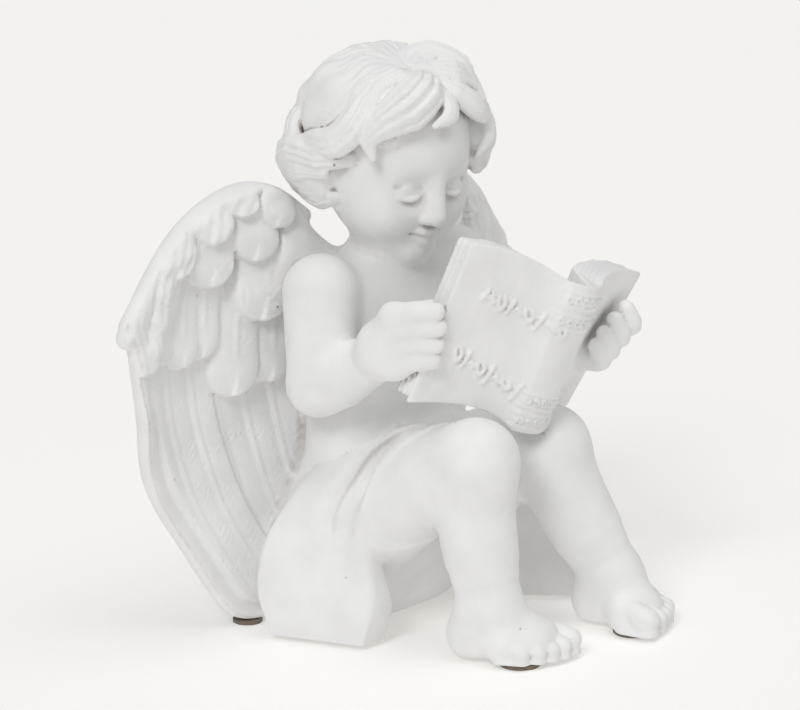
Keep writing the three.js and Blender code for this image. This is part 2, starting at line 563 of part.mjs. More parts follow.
// Tiers of short feathers, each over the one below it, given by their lowest points and half widths.
function tier(tips, length, low, high) {
  tips.forEach(([a, z, wide], i) => {
    const end = z + wide * 0.9;
    const path = [[a - 7, end + length], [a - 2, end + length / 2], [a, end]];
    FEATHERS.push(feather(path, wide, low, high - (i % 2) * 0.7));
  });
}
tier([[108, 111, 6.5], [98, 113, 7.5], [86, 110, 8], [75, 112, 8], [60, 95, 11.5], [42, 98, 10], [27, 104, 9]],
  32, 3.6, 7.4);
tier([[90, 146, 9], [72, 140, 10], [48, 124, 12.5], [26, 124, 10]], 20, 6.4, 10.2);
tier([[73, 157, 9], [53, 148, 10], [33, 140, 10], [18, 140, 8]], 12, 8.6, 12.6);
tier([[60, 166, 8], [43, 160, 8.5]], 8, 10.6, 14);

// How far the feathers stand out of the wing's front.
function plumage(a, z) {
  let most = 0;
  for (const { path, wide, low, high } of FEATHERS) {
    let best = FAR, where = 0;
    for (let i = 0; i + 1 < path.length; i++) {
      const p = path[i], q = path[i + 1];
      const ex = q.x - p.x, ey = q.y - p.y, wx = a - p.x, wy = z - p.y;
      const t = clamp01((wx * ex + wy * ey) / (ex * ex + ey * ey));
      const d = hypot(wx - ex * t, wy - ey * t);
      if (d < best) {
        best = d;
        where = (i + t) / (path.length - 1);
      }
    }
    const edge = wide - best;
    if (edge < -1) continue;
    most = max(most, (mix(low, high, where) + 1.2 * sqrt(clamp01(edge / wide))) * smooth(edge + 0.6));
  }
  return most;
}

// Both maps are drawn once on a fine grid, then read between its points.
const MAP_STEP = 0.75, MAP_LOW = -6, MAP_REACH = 136.5, MAP_TOP = 186;
const MAP_WIDE = Math.ceil((MAP_REACH - MAP_LOW) / MAP_STEP);
const MAP_TALL = Math.ceil((MAP_TOP - MAP_LOW) / MAP_STEP);
function mapOf(height) {
  const grid = new Float32Array(MAP_WIDE * MAP_TALL);
  for (let j = 0; j < MAP_TALL; j++)
    for (let i = 0; i < MAP_WIDE; i++)
      grid[j * MAP_WIDE + i] = height(MAP_LOW + i * MAP_STEP, MAP_LOW + j * MAP_STEP);
  return (a, z) => {
    const x = min(MAP_WIDE - 1.001, max(0, (a - MAP_LOW) / MAP_STEP));
    const y = min(MAP_TALL - 1.001, max(0, (z - MAP_LOW) / MAP_STEP));
    const i = Math.floor(x), j = Math.floor(y), k = j * MAP_WIDE + i;
    return mix(mix(grid[k], grid[k + 1], x - i), mix(grid[k + MAP_WIDE], grid[k + MAP_WIDE + 1], x - i), y - j);
  };
}
const edgeMap = mapOf(toOutline);
const plumageMap = mapOf(plumage);

// The thick leading edge's own line, from the shoulder to the knob where it turns down.
const LEADING = [
  [24, 161], [38, 170], [53, 173], [68, 169], [82, 161], [92, 152], [101, 142], [108, 133], [112, 126],
];

function wing(casting, side) {
  const form = new Form(4);
  const wingThick = WING_THICK / SCALE;
  const sweep = (a, z) => 30 + 12 * smooth(a / 90) - 5 * smooth((60 - z) / 60);
  const at = (x, y, z) => {
    const a = side * x;
    const edge = edgeMap(a, z);
    const rim = exp(edge / 9) * smooth((z - 60) / 40);
    const cup = sweep(a, z) - 9 * rim;
    // A plain bevelled rim runs round the lower part, outside the feathers.
    const plain = smooth((112 - z) / 24) * (1 - smooth((-edge - 6.5) / 1.6)) * smooth((a - 32) / 10);
    const front = cup + 3 - mix(plumageMap(a, z) * (1 - 0.75 * rim), 4.2 + 0.25 * edge, plain);
    const back = cup + wingThick - 4 * exp(edge / 9);
    return carve(max(front - y, y - back) * 0.9, -edge, 3.5);
  };
  const lo = v(side < 0 ? -126 : 0, 14, 0), hi = v(side < 0 ? 0 : 126, 70, 186);
  form.add(at, lo, hi);
  limb(form, [v(side * 14, 20, 128), v(side * 34, 33, 146)], [13, 9], { blend: 10 });
  limb(form, LEADING.map(([a, z]) => v(side * a, sweep(a, z) - 2.5, z)), [4, 5, 5.4, 5.4, 5.2, 5, 4.6, 4.2, 3.8],
    { blend: 3, steps: 20 });
  ellipsoid(form, v(side * 112, sweep(112, 127) - 2.5, 125), v(4.2, 4.2, 4.2), { blend: 1 });
  casting.addForm(form, 5);
}

function figure() {
  const casting = new Form(3);
  torso(casting);
  seat(casting);
  leg(casting, HIP_RIGHT, KNEE_RIGHT, ANKLE_RIGHT, TOES_RIGHT, RIGHT_TOES);
  leg(casting, HIP_LEFT, KNEE_LEFT, ANKLE_LEFT, TOES_LEFT, LEFT_TOES);
  wrap(casting, -1, HIP_RIGHT, KNEE_RIGHT);
  wrap(casting, 1, HIP_LEFT, KNEE_LEFT);
  lap(casting);
  flap(casting, -1, RIGHT_FLAP);
  flap(casting, 1, LEFT_FLAP);
  valleys(casting, -1);
  valleys(casting, 1);
  wing(casting, -1);
  wing(casting, 1);
  arm(casting, mirrored(SHOULDER), mirrored(ELBOW), -1, RIGHT_HAND);
  arm(casting, SHOULDER, ELBOW, 1, LEFT_HAND);
  head(casting);
  hair(casting);
  book(casting);
  // The underside is cut flat.
  casting.add((x, y, z) => z - SOLE, v(-FAR, -FAR, -FAR), v(FAR, FAR, SOLE), 0.6, true);
  return casting;
}

// The corners of a cell, and the two corners that each of its edges joins.
const CORNERS = [[0, 0, 0], [1, 0, 0], [1, 1, 0], [0, 1, 0], [0, 0, 1], [1, 0, 1], [1, 1, 1], [0, 1, 1]];
const EDGES = [[0, 1], [1, 2], [3, 2], [0, 3], [4, 5], [5, 6], [7, 6], [4, 7], [0, 4], [1, 5], [2, 6], [3, 7]];

// The skin of a form as points and faces, sampled block by block where it can run.
function skin(form, cell) {
  const BLOCK = 8;
  const size = form.hi.clone().sub(form.lo).addScalar(4 * cell).divideScalar(cell * BLOCK).ceil();
  const origin = form.lo.clone().subScalar(2 * cell);
  const [nx, ny, nz] = size.toArray().map((n) => n * BLOCK + 1);
  const field = new Float32Array(nx * ny * nz).fill(FAR);
  const index = (i, j, k) => (k * ny + j) * nx + i;
  const half = (cell * BLOCK) / 2;
  for (let bz = 0; bz < size.z; bz++)
    for (let by = 0; by < size.y; by++)
      for (let bx = 0; bx < size.x; bx++) {
        const lo = v(bx, by, bz).multiplyScalar(cell * BLOCK).add(origin);
        const hi = lo.clone().addScalar(cell * BLOCK);
        const local = form.near(lo, hi, 2 * cell);
        if (!local.shapes.length) continue;
        const centre = local.at(lo.x + half, lo.y + half, lo.z + half);
        if (abs(centre) > half * 3.2 + 8) {
          if (centre < 0)
            for (let k = 0; k <= BLOCK; k++)
              for (let j = 0; j <= BLOCK; j++)
                for (let i = 0; i <= BLOCK; i++)
                  field[index(bx * BLOCK + i, by * BLOCK + j, bz * BLOCK + k)] = centre;
          continue;
        }
        for (let k = 0; k <= BLOCK; k++)
          for (let j = 0; j <= BLOCK; j++)
            for (let i = 0; i <= BLOCK; i++)
              field[index(bx * BLOCK + i, by * BLOCK + j, bz * BLOCK + k)] =
                local.at(lo.x + i * cell, lo.y + j * cell, lo.z + k * cell);
      }
  const points = [];
  const faces = [];
  const made = new Map();
  const vertex = (i, j, k, edge) => {
    const [p, q] = EDGES[edge].map((c) => [i + CORNERS[c][0], j + CORNERS[c][1], k + CORNERS[c][2]]);
    const axis = [0, 1, 2].find((n) => p[n] !== q[n]);
    const key = index(...p) * 3 + axis;
    if (!made.has(key)) {
      const a = field[index(...p)], b = field[index(...q)];
      const t = min(0.97, max(0.03, a / (a - b)));
      made.set(key, points.length);
      points.push(v(mix(p[0], q[0], t), mix(p[1], q[1], t), mix(p[2], q[2], t)).multiplyScalar(cell).add(origin));
    }
    return made.get(key);
  };
  for (let k = 0; k < nz - 1; k++)
    for (let j = 0; j < ny - 1; j++)
      for (let i = 0; i < nx - 1; i++) {
        let kind = 0;
        CORNERS.forEach(([x, y, z], c) => {
          if (field[index(i + x, j + y, k + z)] < 0) kind |= 1 << c;
        });
        if (!edgeTable[kind]) continue;
        for (let t = kind * 16; triTable[t] !== -1; t += 3)
          faces.push([2, 1, 0].map((n) => vertex(i, j, k, triTable[t + n])));
      }
  return { points, faces };
}

// Thins a closed skin to `keep` faces, taking the edge whose loss shows least each time.
function thin({ points, faces }, keep) {
  const quadric = points.map(() => new Float64Array(10));
  const around = points.map(() => new Set());
  const normal = v(), e1 = v(), e2 = v();
  const faceNormal = ([a, b, c]) => {
    e1.subVectors(points[b], points[a]);
    e2.subVectors(points[c], points[a]);
    return normal.crossVectors(e1, e2);
  };
  faces.forEach((face, f) => {
    const n = faceNormal(face);
    const area = n.length();
    n.divideScalar(area || 1);
    const d = -n.dot(points[face[0]]);
    const plane = [n.x, n.y, n.z, d];
    for (const p of face) {
      around[p].add(f);
      let m = 0;
      for (let i = 0; i < 4; i++) for (let j = i; j < 4; j++) quadric[p][m++] += plane[i] * plane[j] * area;
    }
  });
  const costAt = (q, p) =>
    q[0] * p.x * p.x + 2 * q[1] * p.x * p.y + 2 * q[2] * p.x * p.z + 2 * q[3] * p.x +
    q[4] * p.y * p.y + 2 * q[5] * p.y * p.z + 2 * q[6] * p.y + q[7] * p.z * p.z + 2 * q[8] * p.z + q[9];
  const matrix = new THREE.Matrix3();
  const plan = (a, b) => {
    const q = quadric[a].map((value, i) => value + quadric[b][i]);
    const middle = points[a].clone().add(points[b]).multiplyScalar(0.5);
    const tries = [middle, points[a], points[b]];
    matrix.set(q[0], q[1], q[2], q[1], q[4], q[5], q[2], q[5], q[7]);
    if (abs(matrix.determinant()) > 1e-6) {
      const best = v(-q[3], -q[6], -q[8]).applyMatrix3(matrix.invert());
      if (best.distanceTo(middle) < points[a].distanceTo(points[b])) tries.unshift(best);
    }
    let place = tries[0], cost = costAt(q, place);
    for (const other of tries.slice(1)) if (costAt(q, other) < cost) [place, cost] = [other, costAt(q, other)];
    return { place: place.clone(), cost: cost + 1e-4 * points[a].distanceToSquared(points[b]) };
  };
  // A heap of edges, the cheapest on top.
  const heap = [];
  const push = (item) => {
    let i = heap.length;
    while (i > 0) {
      const up = (i - 1) >> 1;
      if (heap[up].cost <= item.cost) break;
      heap[i] = heap[up];
      i = up;
    }
    heap[i] = item;
  };
  const pop = () => {
    const top = heap[0], last = heap.pop();
    if (!heap.length) return top;
    let i = 0;
    for (;;) {
      let child = 2 * i + 1;
      if (child >= heap.length) break;
      if (child + 1 < heap.length && heap[child + 1].cost < heap[child].cost) child++;
      if (last.cost <= heap[child].cost) break;
      heap[i] = heap[child];
      i = child;
    }
    heap[i] = last;
    return top;
  };
  const age = new Int32Array(points.length);
  const offer = (a, b) => push({ a, b, ageA: age[a], ageB: age[b], ...plan(a, b) });
  const neighbours = (p) => new Set([...around[p]].flatMap((f) => faces[f]).filter((other) => other !== p));
  faces.forEach((face) => face.forEach((a, i) => a < face[(i + 1) % 3] && offer(a, face[(i + 1) % 3])));
  let left = faces.length;
  while (left > keep && heap.length) {
    const { a, b, ageA, ageB, place } = pop();
    if (age[a] !== ageA || age[b] !== ageB) continue;
    const nearA = neighbours(a), nearB = neighbours(b);
    if ([...nearA].filter((p) => nearB.has(p)).length !== 2) continue;
    // No face left behind may turn over or shrink to a sliver.
    const turns = (p, other) =>
      [...around[p]].some((f) => {
        if (faces[f].includes(other)) return false;
        const before = faceNormal(faces[f]).clone();
        const kept = points[p];
        points[p] = place;
        const after = faceNormal(faces[f]).clone();
        const longest = max(...faces[f].map((c, i) => points[c].distanceToSquared(points[faces[f][(i + 1) % 3]])));
        points[p] = kept;
        return before.dot(after) < 0.3 * before.length() * after.length() || after.length() < 0.02 * longest;
      });
    if (turns(a, b) || turns(b, a)) continue;
    points[a] = place;
    for (let i = 0; i < 10; i++) quadric[a][i] += quadric[b][i];
    for (const f of around[b]) {
      if (faces[f].includes(a)) {
        for (const p of faces[f]) around[p].delete(f);
        faces[f] = null;
        left--;
        continue;
      }
      faces[f] = faces[f].map((p) => (p === b ? a : p));
      around[a].add(f);
    }
    around[b].clear();
    age[b] = -1;
    age[a]++;
    for (const p of neighbours(a)) offer(a, p);
  }
  return { points, faces: faces.filter(Boolean) };
}

// The outer skin alone: the piece of a skin with the most faces, without bubbles that lie sealed inside it.
function outermost({ points, faces }) {
  const root = points.map((_, i) => i);
  const find = (i) => {
    while (root[i] !== i) i = root[i] = root[root[i]];
    return i;
  };
  for (const [a, b, c] of faces) {
    root[find(a)] = find(b);
    root[find(b)] = find(c);
  }
  const count = new Map();
  for (const [a] of faces) count.set(find(a), (count.get(find(a)) ?? 0) + 1);
  const [main] = [...count].sort((p, q) => q[1] - p[1])[0];
  return { points, faces: faces.filter(([a]) => find(a) === main) };
}

function geometryOf({ points, faces }) {
  const corners = new Float32Array(faces.flatMap((face) => face.flatMap((p) => points[p].toArray())));
  return mergeVertices(new THREE.BufferGeometry().setAttribute("position", new THREE.BufferAttribute(corners, 3)));
}

const PLASTER = new THREE.MeshStandardMaterial({ color: 0xf1f0ec, roughness: 0.75, metalness: 0 });
const FELT = new THREE.MeshStandardMaterial({ color: 0x6f6154, roughness: 0.95, metalness: 0 });

const angel = new THREE.Group();
const casting = new THREE.Mesh(geometryOf(thin(outermost(skin(figure(), CELL)), FACES)), PLASTER);
casting.name = "angel_casting";
casting.scale.setScalar(SCALE);
angel.add(casting);

// The round pads glued under both feet, towards their outer and inner sides, and the tips of both wings.
function pad(name, at, radius) {
  const disc = new THREE.CylinderGeometry(radius, radius, PAD_THICKNESS, 24).rotateX(PI / 2);
  const mesh = new THREE.Mesh(disc, FELT);
  mesh.name = name;
  mesh.position.set(at.x * SCALE, at.y * SCALE, PAD_THICKNESS / 2);
  angel.add(mesh);
}
const underBall = (ankle, toes, aside) => ankle.clone().lerp(toes, 0.55).add(v(aside, 0, 0));
const WING_TIP = v(50, 37, 0);
pad("pad_right_foot", underBall(ANKLE_RIGHT, TOES_RIGHT, -5), FOOT_PAD_RADIUS);
pad("pad_left_foot", underBall(ANKLE_LEFT, TOES_LEFT, -5), FOOT_PAD_RADIUS);
pad("pad_right_wing", mirrored(WING_TIP), WING_PAD_RADIUS);
pad("pad_left_wing", WING_TIP, WING_PAD_RADIUS);

// The origin is on the ground, under the middle of the whole.
const whole = new THREE.Box3().setFromObject(angel);
for (const mesh of angel.children) {
  mesh.position.x -= (whole.min.x + whole.max.x) / 2;
  mesh.position.y -= (whole.min.y + whole.max.y) / 2;
}

export default angel;
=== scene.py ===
import math

import bpy
import numpy as np
import openvdb
from mathutils import Matrix, Vector


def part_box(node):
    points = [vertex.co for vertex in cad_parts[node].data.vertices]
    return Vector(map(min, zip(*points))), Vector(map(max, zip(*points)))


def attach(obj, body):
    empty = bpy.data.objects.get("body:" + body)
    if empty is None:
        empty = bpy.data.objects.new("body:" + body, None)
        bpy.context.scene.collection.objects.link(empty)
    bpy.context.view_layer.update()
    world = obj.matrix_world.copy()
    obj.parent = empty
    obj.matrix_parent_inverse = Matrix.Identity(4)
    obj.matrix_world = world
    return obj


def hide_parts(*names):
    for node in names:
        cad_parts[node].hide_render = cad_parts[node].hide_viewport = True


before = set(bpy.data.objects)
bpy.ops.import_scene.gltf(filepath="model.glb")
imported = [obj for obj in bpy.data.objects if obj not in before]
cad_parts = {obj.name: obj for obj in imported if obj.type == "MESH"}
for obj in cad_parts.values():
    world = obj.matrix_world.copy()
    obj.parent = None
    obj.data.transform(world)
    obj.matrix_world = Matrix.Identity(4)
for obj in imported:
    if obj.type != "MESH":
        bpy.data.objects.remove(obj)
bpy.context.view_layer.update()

# Forms are drawn in millimetres, +Z up, facing -Y, and moved to the frame by where the left wing's pad is.
MM = 0.001
WING_TIP = np.array([50.0, 37.0, 0.0])
pad_low, pad_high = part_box("pad_left_wing")
pad_middle = np.array((pad_low + pad_high) / 2) / MM
SHIFT = np.array([pad_middle[0] - WING_TIP[0], pad_middle[1] - WING_TIP[1], 0.0])
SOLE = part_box("angel_casting")[0].z / MM

CELL = 0.7  # spacing of the samples the skin is drawn through
FACES = 196000  # triangles left on the figure's skin
FAR = 1e3
F = np.float32


def v(x, y, z):
    return np.array([x, y, z], float)


def unit(a):
    return a / np.linalg.norm(a)


def mix(a, b, t):
    return a + (b - a) * t


def smooth(t):
    t = np.clip(t, 0, 1)
    return t * t * (3 - 2 * t)


def turned(x, y, z, order):
    """A rotation from degrees about X, Y and Z. The order is the one the matrices are multiplied in."""
    about = {
        "X": Matrix.Rotation(math.radians(x), 3, "X"),
        "Y": Matrix.Rotation(math.radians(y), 3, "Y"),
        "Z": Matrix.Rotation(math.radians(z), 3, "Z"),
    }
    return np.array(about[order[0]] @ about[order[1]] @ about[order[2]])


def spline(points, steps, even=False):
    """Points on a curve through the given ones, `steps` apart in its own measure."""
    p = np.array(points, float)
    if even:
        p = np.vstack([p[:1], p, p[-1:]])
    else:
        p = np.vstack([2 * p[0] - p[1], p, 2 * p[-1] - p[-2]])
    spans = len(p) - 3
    made = []
    for step in range(steps + 1):
        place = min(step / steps * spans, spans - 1e-9)
        i = int(place)
        t = place - i
        a, b, c, d = p[i : i + 4]
        if even:
            out, into = (c - a) / 2, (d - b) / 2
        else:
            d0, d1, d2 = (max(np.linalg.norm(q - r) ** 0.5, 1e-4) for q, r in ((b, a), (c, b), (d, c)))
            out = ((b - a) / d0 - (c - a) / (d0 + d1) + (c - b) / d1) * d1
            into = ((c - b) / d1 - (d - b) / (d1 + d2) + (d - c) / d2) * d1
        made.append(
            b * (2 * t**3 - 3 * t**2 + 1) + c * (3 * t**2 - 2 * t**3)
            + out * (t**3 - 2 * t**2 + t) + into * (t**3 - t**2)
        )
    return np.array(made)


def along(values, share):
    """The value at a share of the way through a list of values."""
    return float(np.interp(share * (len(values) - 1), range(len(values)), values))


# Distance fields. A form is a list of shapes, each joined to or carved from those before it.
def join(a, b, k):
    h = np.maximum(k - np.abs(a - b), 0)
    return np.minimum(a, b) - h * h * F(0.25 / k)


def carve(a, b, k):
    return -join(-a, b, k)


class Shape:
    def __init__(self, at, lo, hi, blend, cut=False, spans=None):
        self.at, self.lo, self.hi, self.blend, self.cut, self.spans = at, lo, hi, blend, cut, spans

    def near(self, lo, hi, margin):
        """The same shape with only the spans that can matter in a box, or None."""
        margin = margin + self.blend
        if np.any(self.lo - margin > hi) or np.any(self.hi + margin < lo):
            return None
        if self.spans is None:
            return self
        kept = [s for s in self.spans if np.all(s["lo"] - margin <= hi) and np.all(s["hi"] + margin >= lo)]
        return Shape(self.at, self.lo, self.hi, self.blend, self.cut, kept) if kept else None

    def value(self, x, y, z):
        return self.at(x, y, z) if self.spans is None else self.at(x, y, z, self.spans)


class Form:
    """Shapes that are joined, and that can themselves be joined to another form."""

    def __init__(self, blend=1.0):
        self.shapes, self.blend, self.cut = [], blend, False
        self.lo, self.hi = np.full(3, FAR), np.full(3, -FAR)

    def add(self, shape):
        self.shapes.append(shape)
        if not shape.cut:
            self.lo, self.hi = np.minimum(self.lo, shape.lo), np.maximum(self.hi, shape.hi)

    def add_form(self, form, blend):
        form.blend = blend
        self.add(form)

    def near(self, lo, hi, margin):
        margin = margin + self.blend
        if np.any(self.lo - margin > hi) or np.any(self.hi + margin < lo):
            return None
        kept = Form(self.blend)
        kept.lo, kept.hi = self.lo, self.hi
        kept.shapes = [s for s in (shape.near(lo, hi, margin) for shape in self.shapes) if s is not None]
        return kept if any(not s.cut for s in kept.shapes) else None

    def value(self, x, y, z):
        d = None
        for shape in self.shapes:
            e = shape.value(x, y, z)
            if d is None:
                d = e if not shape.cut else np.full(np.shape(x), FAR, F)
            elif shape.cut:
                d = carve(d, e, shape.blend)
            else:
                d = join(d, e, shape.blend)
        return d


def ellipsoid(form, centre, radii, turn=None, blend=None, cut=False):
    """A ball pulled to three half-axes, turned by a rotation."""
    rx, ry, rz = (F(r) for r in radii)
    cx, cy, cz = (F(c) for c in centre)
    rows = None if turn is None else np.array(turn).T.astype(F)

    def at(x, y, z):
        x, y, z = x - cx, y - cy, z - cz
        if rows is not None:
            x, y, z = (r[0] * x + r[1] * y + r[2] * z for r in rows)
        x, y, z = x / rx, y / ry, z / rz
        k0 = np.sqrt(x * x + y * y + z * z)
        x, y, z = x / rx, y / ry, z / rz
        return k0 * (k0 - 1) / np.maximum(np.sqrt(x * x + y * y + z * z), F(1e-6))

    centre, radii = np.array(centre, float), np.array(radii, float)
    reach = radii if turn is None else np.full(3, radii.max())
    form.add(Shape(at, centre - reach, centre + reach, form.blend if blend is None else blend, cut))


def limb_at(x, y, z, spans):
    d = None
    for s in spans:
        a, ab = s["a"], s["ab"]
        px, py, pz = x - a[0], y - a[1], z - a[2]
        t = np.clip((px * ab[0] + py * ab[1] + pz * ab[2]) * s["inv"], 0, 1)
        px, py, pz = px - ab[0] * t, py - ab[1] * t, pz - ab[2] * t
        e = np.sqrt(px * px + py * py + pz * pz) - (s["ra"] + s["more"] * t)
        d = e if d is None else np.minimum(d, e)
    return d


def limb(form, points, radii, blend=None, cut=False, steps=0):
    """A tapered limb through points, each with its own radius."""
    path = spline(points, steps) if steps else np.array(points, float)
    wide = [along(radii, i / (len(path) - 1)) for i in range(len(path))]
    spans = []
    for a, b, ra, rb in zip(path, path[1:], wide, wide[1:]):
        ab = b - a
        r = max(ra, rb)
        spans.append({
            "a": a.astype(F), "ab": ab.astype(F), "inv": F(1 / max(ab @ ab, 1e-9)),
            "ra": F(ra), "more": F(rb - ra),
            "lo": np.minimum(a, b) - r, "hi": np.maximum(a, b) + r,
        })
    lo, hi = path.min(0) - max(radii), path.max(0) + max(radii)
    form.add(Shape(limb_at, lo, hi, form.blend if blend is None else blend, cut, spans))


def lock_at(x, y, z, spans):
    d = None
    for o in spans:
        a, ab, s, n, u = o["a"], o["ab"], o["s"], o["n"], o["t"]
        px, py, pz = x - a[0], y - a[1], z - a[2]
        t = np.clip((px * ab[0] + py * ab[1] + pz * ab[2]) * o["inv"], 0, 1)
        px, py, pz = px - ab[0] * t, py - ab[1] * t, pz - ab[2] * t
        w = o["wa"] + o["w_more"] * t
        h = o["ha"] + o["h_more"] * t
        side = (px * s[0] + py * s[1] + pz * s[2]) / w
        strands = np.sqrt(np.cos(o["turns"] * side + o["phase"]) ** 2 + F(0.03))
        hairs = np.cos(4.6 * o["turns"] * side)
        h = h * (1 + o["depth"] * (strands - F(0.7)) + o["fine"] * hairs)
        up = (px * n[0] + py * n[1] + pz * n[2]) / h
        on = (px * u[0] + py * u[1] + pz * u[2]) / h
        k0 = np.sqrt(side * side + up * up + on * on)
        k1 = np.sqrt((side / w) ** 2 + (up / h) ** 2 + (on / h) ** 2)
        e = k0 * (k0 - 1) / np.maximum(k1, F(1e-6))
        d = e if d is None else np.minimum(d, e)
    return d


def lock(form, points, wides, thicks, out, steps, grooves, depth, fine, phase=0.0):
    """A flattened, grooved lock that lies along a curve, with its flat side facing the way `out` gives."""
    path = spline(points, steps)
    spans = []
    for i, (a, b) in enumerate(zip(path, path[1:])):
        ab = b - a
        t = unit(ab)
        n = out((a + b) / 2)
        n = unit(n - t * (n @ t))
        wa, wb = (along(wides, j / steps) for j in (i, i + 1))
        ha, hb = (along(thicks, j / steps) for j in (i, i + 1))
        r = max(wa, wb, ha, hb)
        spans.append({
            "a": a.astype(F), "ab": ab.astype(F), "inv": F(1 / max(ab @ ab, 1e-9)),
            "t": t.astype(F), "n": n.astype(F), "s": np.cross(t, n).astype(F),
            "wa": F(wa), "w_more": F(wb - wa), "ha": F(ha), "h_more": F(hb - ha),
            "turns": F(math.pi * grooves), "depth": F(depth), "fine": F(fine), "phase": F(phase),
            "lo": np.minimum(a, b) - r, "hi": np.maximum(a, b) + r,
        })
    lo, hi = path.min(0) - max(*wides, *thicks), path.max(0) + max(*wides, *thicks)
    form.add(Shape(lock_at, lo, hi, form.blend, False, spans))


def cut_flat(form, through, outward, blend):
    """A flat cut through a place: what lies beyond it, the way `outward` points, comes off."""
    n = unit(np.array(outward, float))
    level = float(n @ np.array(through, float))
    a, b, c = (F(k) for k in n)

    def at(x, y, z):
        return level - (x * a + y * b + z * c)

    form.add(Shape(at, np.full(3, -FAR), np.full(3, FAR), blend, True))


# The book's own frame: across it, towards the reader, and up its spine.
BOOK_TALL, COVER_WIDE, SPINE_HALF, PAGES_THICK = 63.0, 44.0, 10.0, 9.0
SPINE_LEAN, BOOK_ROLL, BOOK_SWING, COVER_RISE = 19.0, 10.0, -5.5, 29.5
SPINE_FOOT = v(0, -64, 84.5)
BOOK_TURN = turned(SPINE_LEAN, BOOK_ROLL, BOOK_SWING, "XYZ")
book_across, book_in, book_up = BOOK_TURN.T
RISE = math.tan(math.radians(COVER_RISE))
BOOK_HALF = SPINE_HALF + COVER_WIDE * math.cos(math.radians(COVER_RISE))
COVER_TWIST = 0.4  # share of its rise that the left cover loses from foot to top
BANDS = (0.08, 0.215, 0.755, 0.9)  # the beaded bands, as shares of the spine


def book_point(a, b, h):
    return SPINE_FOOT + book_across * a + book_in * b + book_up * h


def out_along(a):
    return np.clip((np.abs(a) - SPINE_HALF) / (BOOK_HALF - SPINE_HALF), 0, 1)


def cover_face(a, h):
    out = np.maximum(np.abs(a) - SPINE_HALF, 0)
    twist = np.where(a > 0, 1 - COVER_TWIST * np.clip(h / BOOK_TALL, 0, 1), 1)
    rounding = -3 * np.maximum(1 - (a / SPINE_HALF) ** 2, 0)
    return RISE * out * twist + rounding + 3.6 * np.sin(math.pi * out_along(a) ** 0.6)


def page_face(a, h):
    gutter = smooth(np.abs(a) / (SPINE_HALF * 1.3))
    share = np.clip(np.abs(a) / BOOK_HALF, 0, 1)
    return cover_face(a, h) + 5 + gutter * (PAGES_THICK - 5 + 11 * (1 - share) ** 1.3 * smooth(share * 7))


def top_edge(a):
    return BOOK_TALL + np.where(a < 0, 4, 0.5) * out_along(a) + 2.5 * np.sin(math.pi * out_along(a))


def bottom_edge(a):
    return 4 * np.sin(math.pi * out_along(a) ** 0.65)


def bead_bands(a, h):
    """Height of the two ridges and the row of ring beads of each band round the spine."""
    most = np.zeros_like(a)
    for share in BANDS:
        up = h - share * BOOK_TALL
        ridges = 0.95 * (np.exp(-(((up - 2.7) / 0.6) ** 2)) + np.exp(-(((up + 2.7) / 0.6) ** 2)))
        across = (a + 40 * 3.6) % 3.6 - 1.8
        ring = 1.3 * np.exp(-(((np.hypot(across, up) - 1.15) / 0.5) ** 2))
        most = np.maximum(most, np.maximum(ridges, ring))
    return most * smooth((SPINE_HALF + 2.5 - np.abs(a)) / 1.5)


def book(casting):
    form = Form(1)
    slope = F(math.cos(math.radians(COVER_RISE)))

    def at(x, y, z):
        x, y, z = x - SPINE_FOOT[0], y - SPINE_FOOT[1], z - SPINE_FOOT[2]
        a, b, h = (x * k[0] + y * k[1] + z * k[2] for k in (book_across, book_in, book_up))
        outer, inner = cover_face(a, h), page_face(a, h)
        depth = b - outer
        # The boards stand a little proud of the pages, and the pages' edges show as thin lines.
        page_lines = 0.4 * np.cos(depth * (2 * math.pi / 2.3)) * smooth(depth - 2)
        inset = 1.3 * smooth((depth - 1.4) / 0.8) + page_lines
        face = np.maximum(-depth - bead_bands(a, h), b - inner) * slope
        ends = np.maximum(bottom_edge(a) - h, h - top_edge(a)) + inset
        sides = np.abs(a) - BOOK_HALF + inset
        return carve(carve(face, -ends, 1), -sides, 1).astype(F)

    corners = np.array([
        book_point(a * BOOK_HALF, b, h * (BOOK_TALL + 6)) for a in (-1, 1) for h in (0, 1) for b in (-8, 36)
    ])
    form.add(Shape(at, corners.min(0), corners.max(0), 1))
    script(form)
    casting.add_form(form, 0.8)


def script(form):
    """Two rows of shallow raised strokes on the right cover: loose bars, hooks and waves, no letters."""
    # Each row: where it starts and ends, across and up, how many strokes it has, and how tall they are.
    rows = [(-38, 49, -5, 42.5, 9, 8), (-39, 24, -11, 14.5, 8, 8.5)]
    for row, (a0, h0, a1, h1, count, tall) in enumerate(rows):
        for i in range(count):
            t = (i + 0.5) / count
            a, h = mix(a0, a1, t), mix(h0, h1, t)
            size = tall * (0.55 + 0.45 * math.sin(2.3 * i + 1.7 * row) ** 2)
            kind = (i * 2 + row) % 3
            if kind == 0:
                flat = [(-0.5, -size * 0.5), (0.2, 0), (1, size * 0.5)]
            elif kind == 1:
                flat = [(-1.2, size * 0.25), (0, -size * 0.35), (1.3, 0), (0.6, size * 0.3)]
            else:
                flat = [(-1.5, 0), (-0.5, size * 0.2), (0.5, -size * 0.2), (1.5, 0)]
            places = [book_point(a + 1.2 * x, cover_face(a + 1.2 * x, h + y) - 0.4, h + y) for x, y in flat]
            limb(form, places, [0.75, 1.05, 0.75], blend=0.4, steps=6)


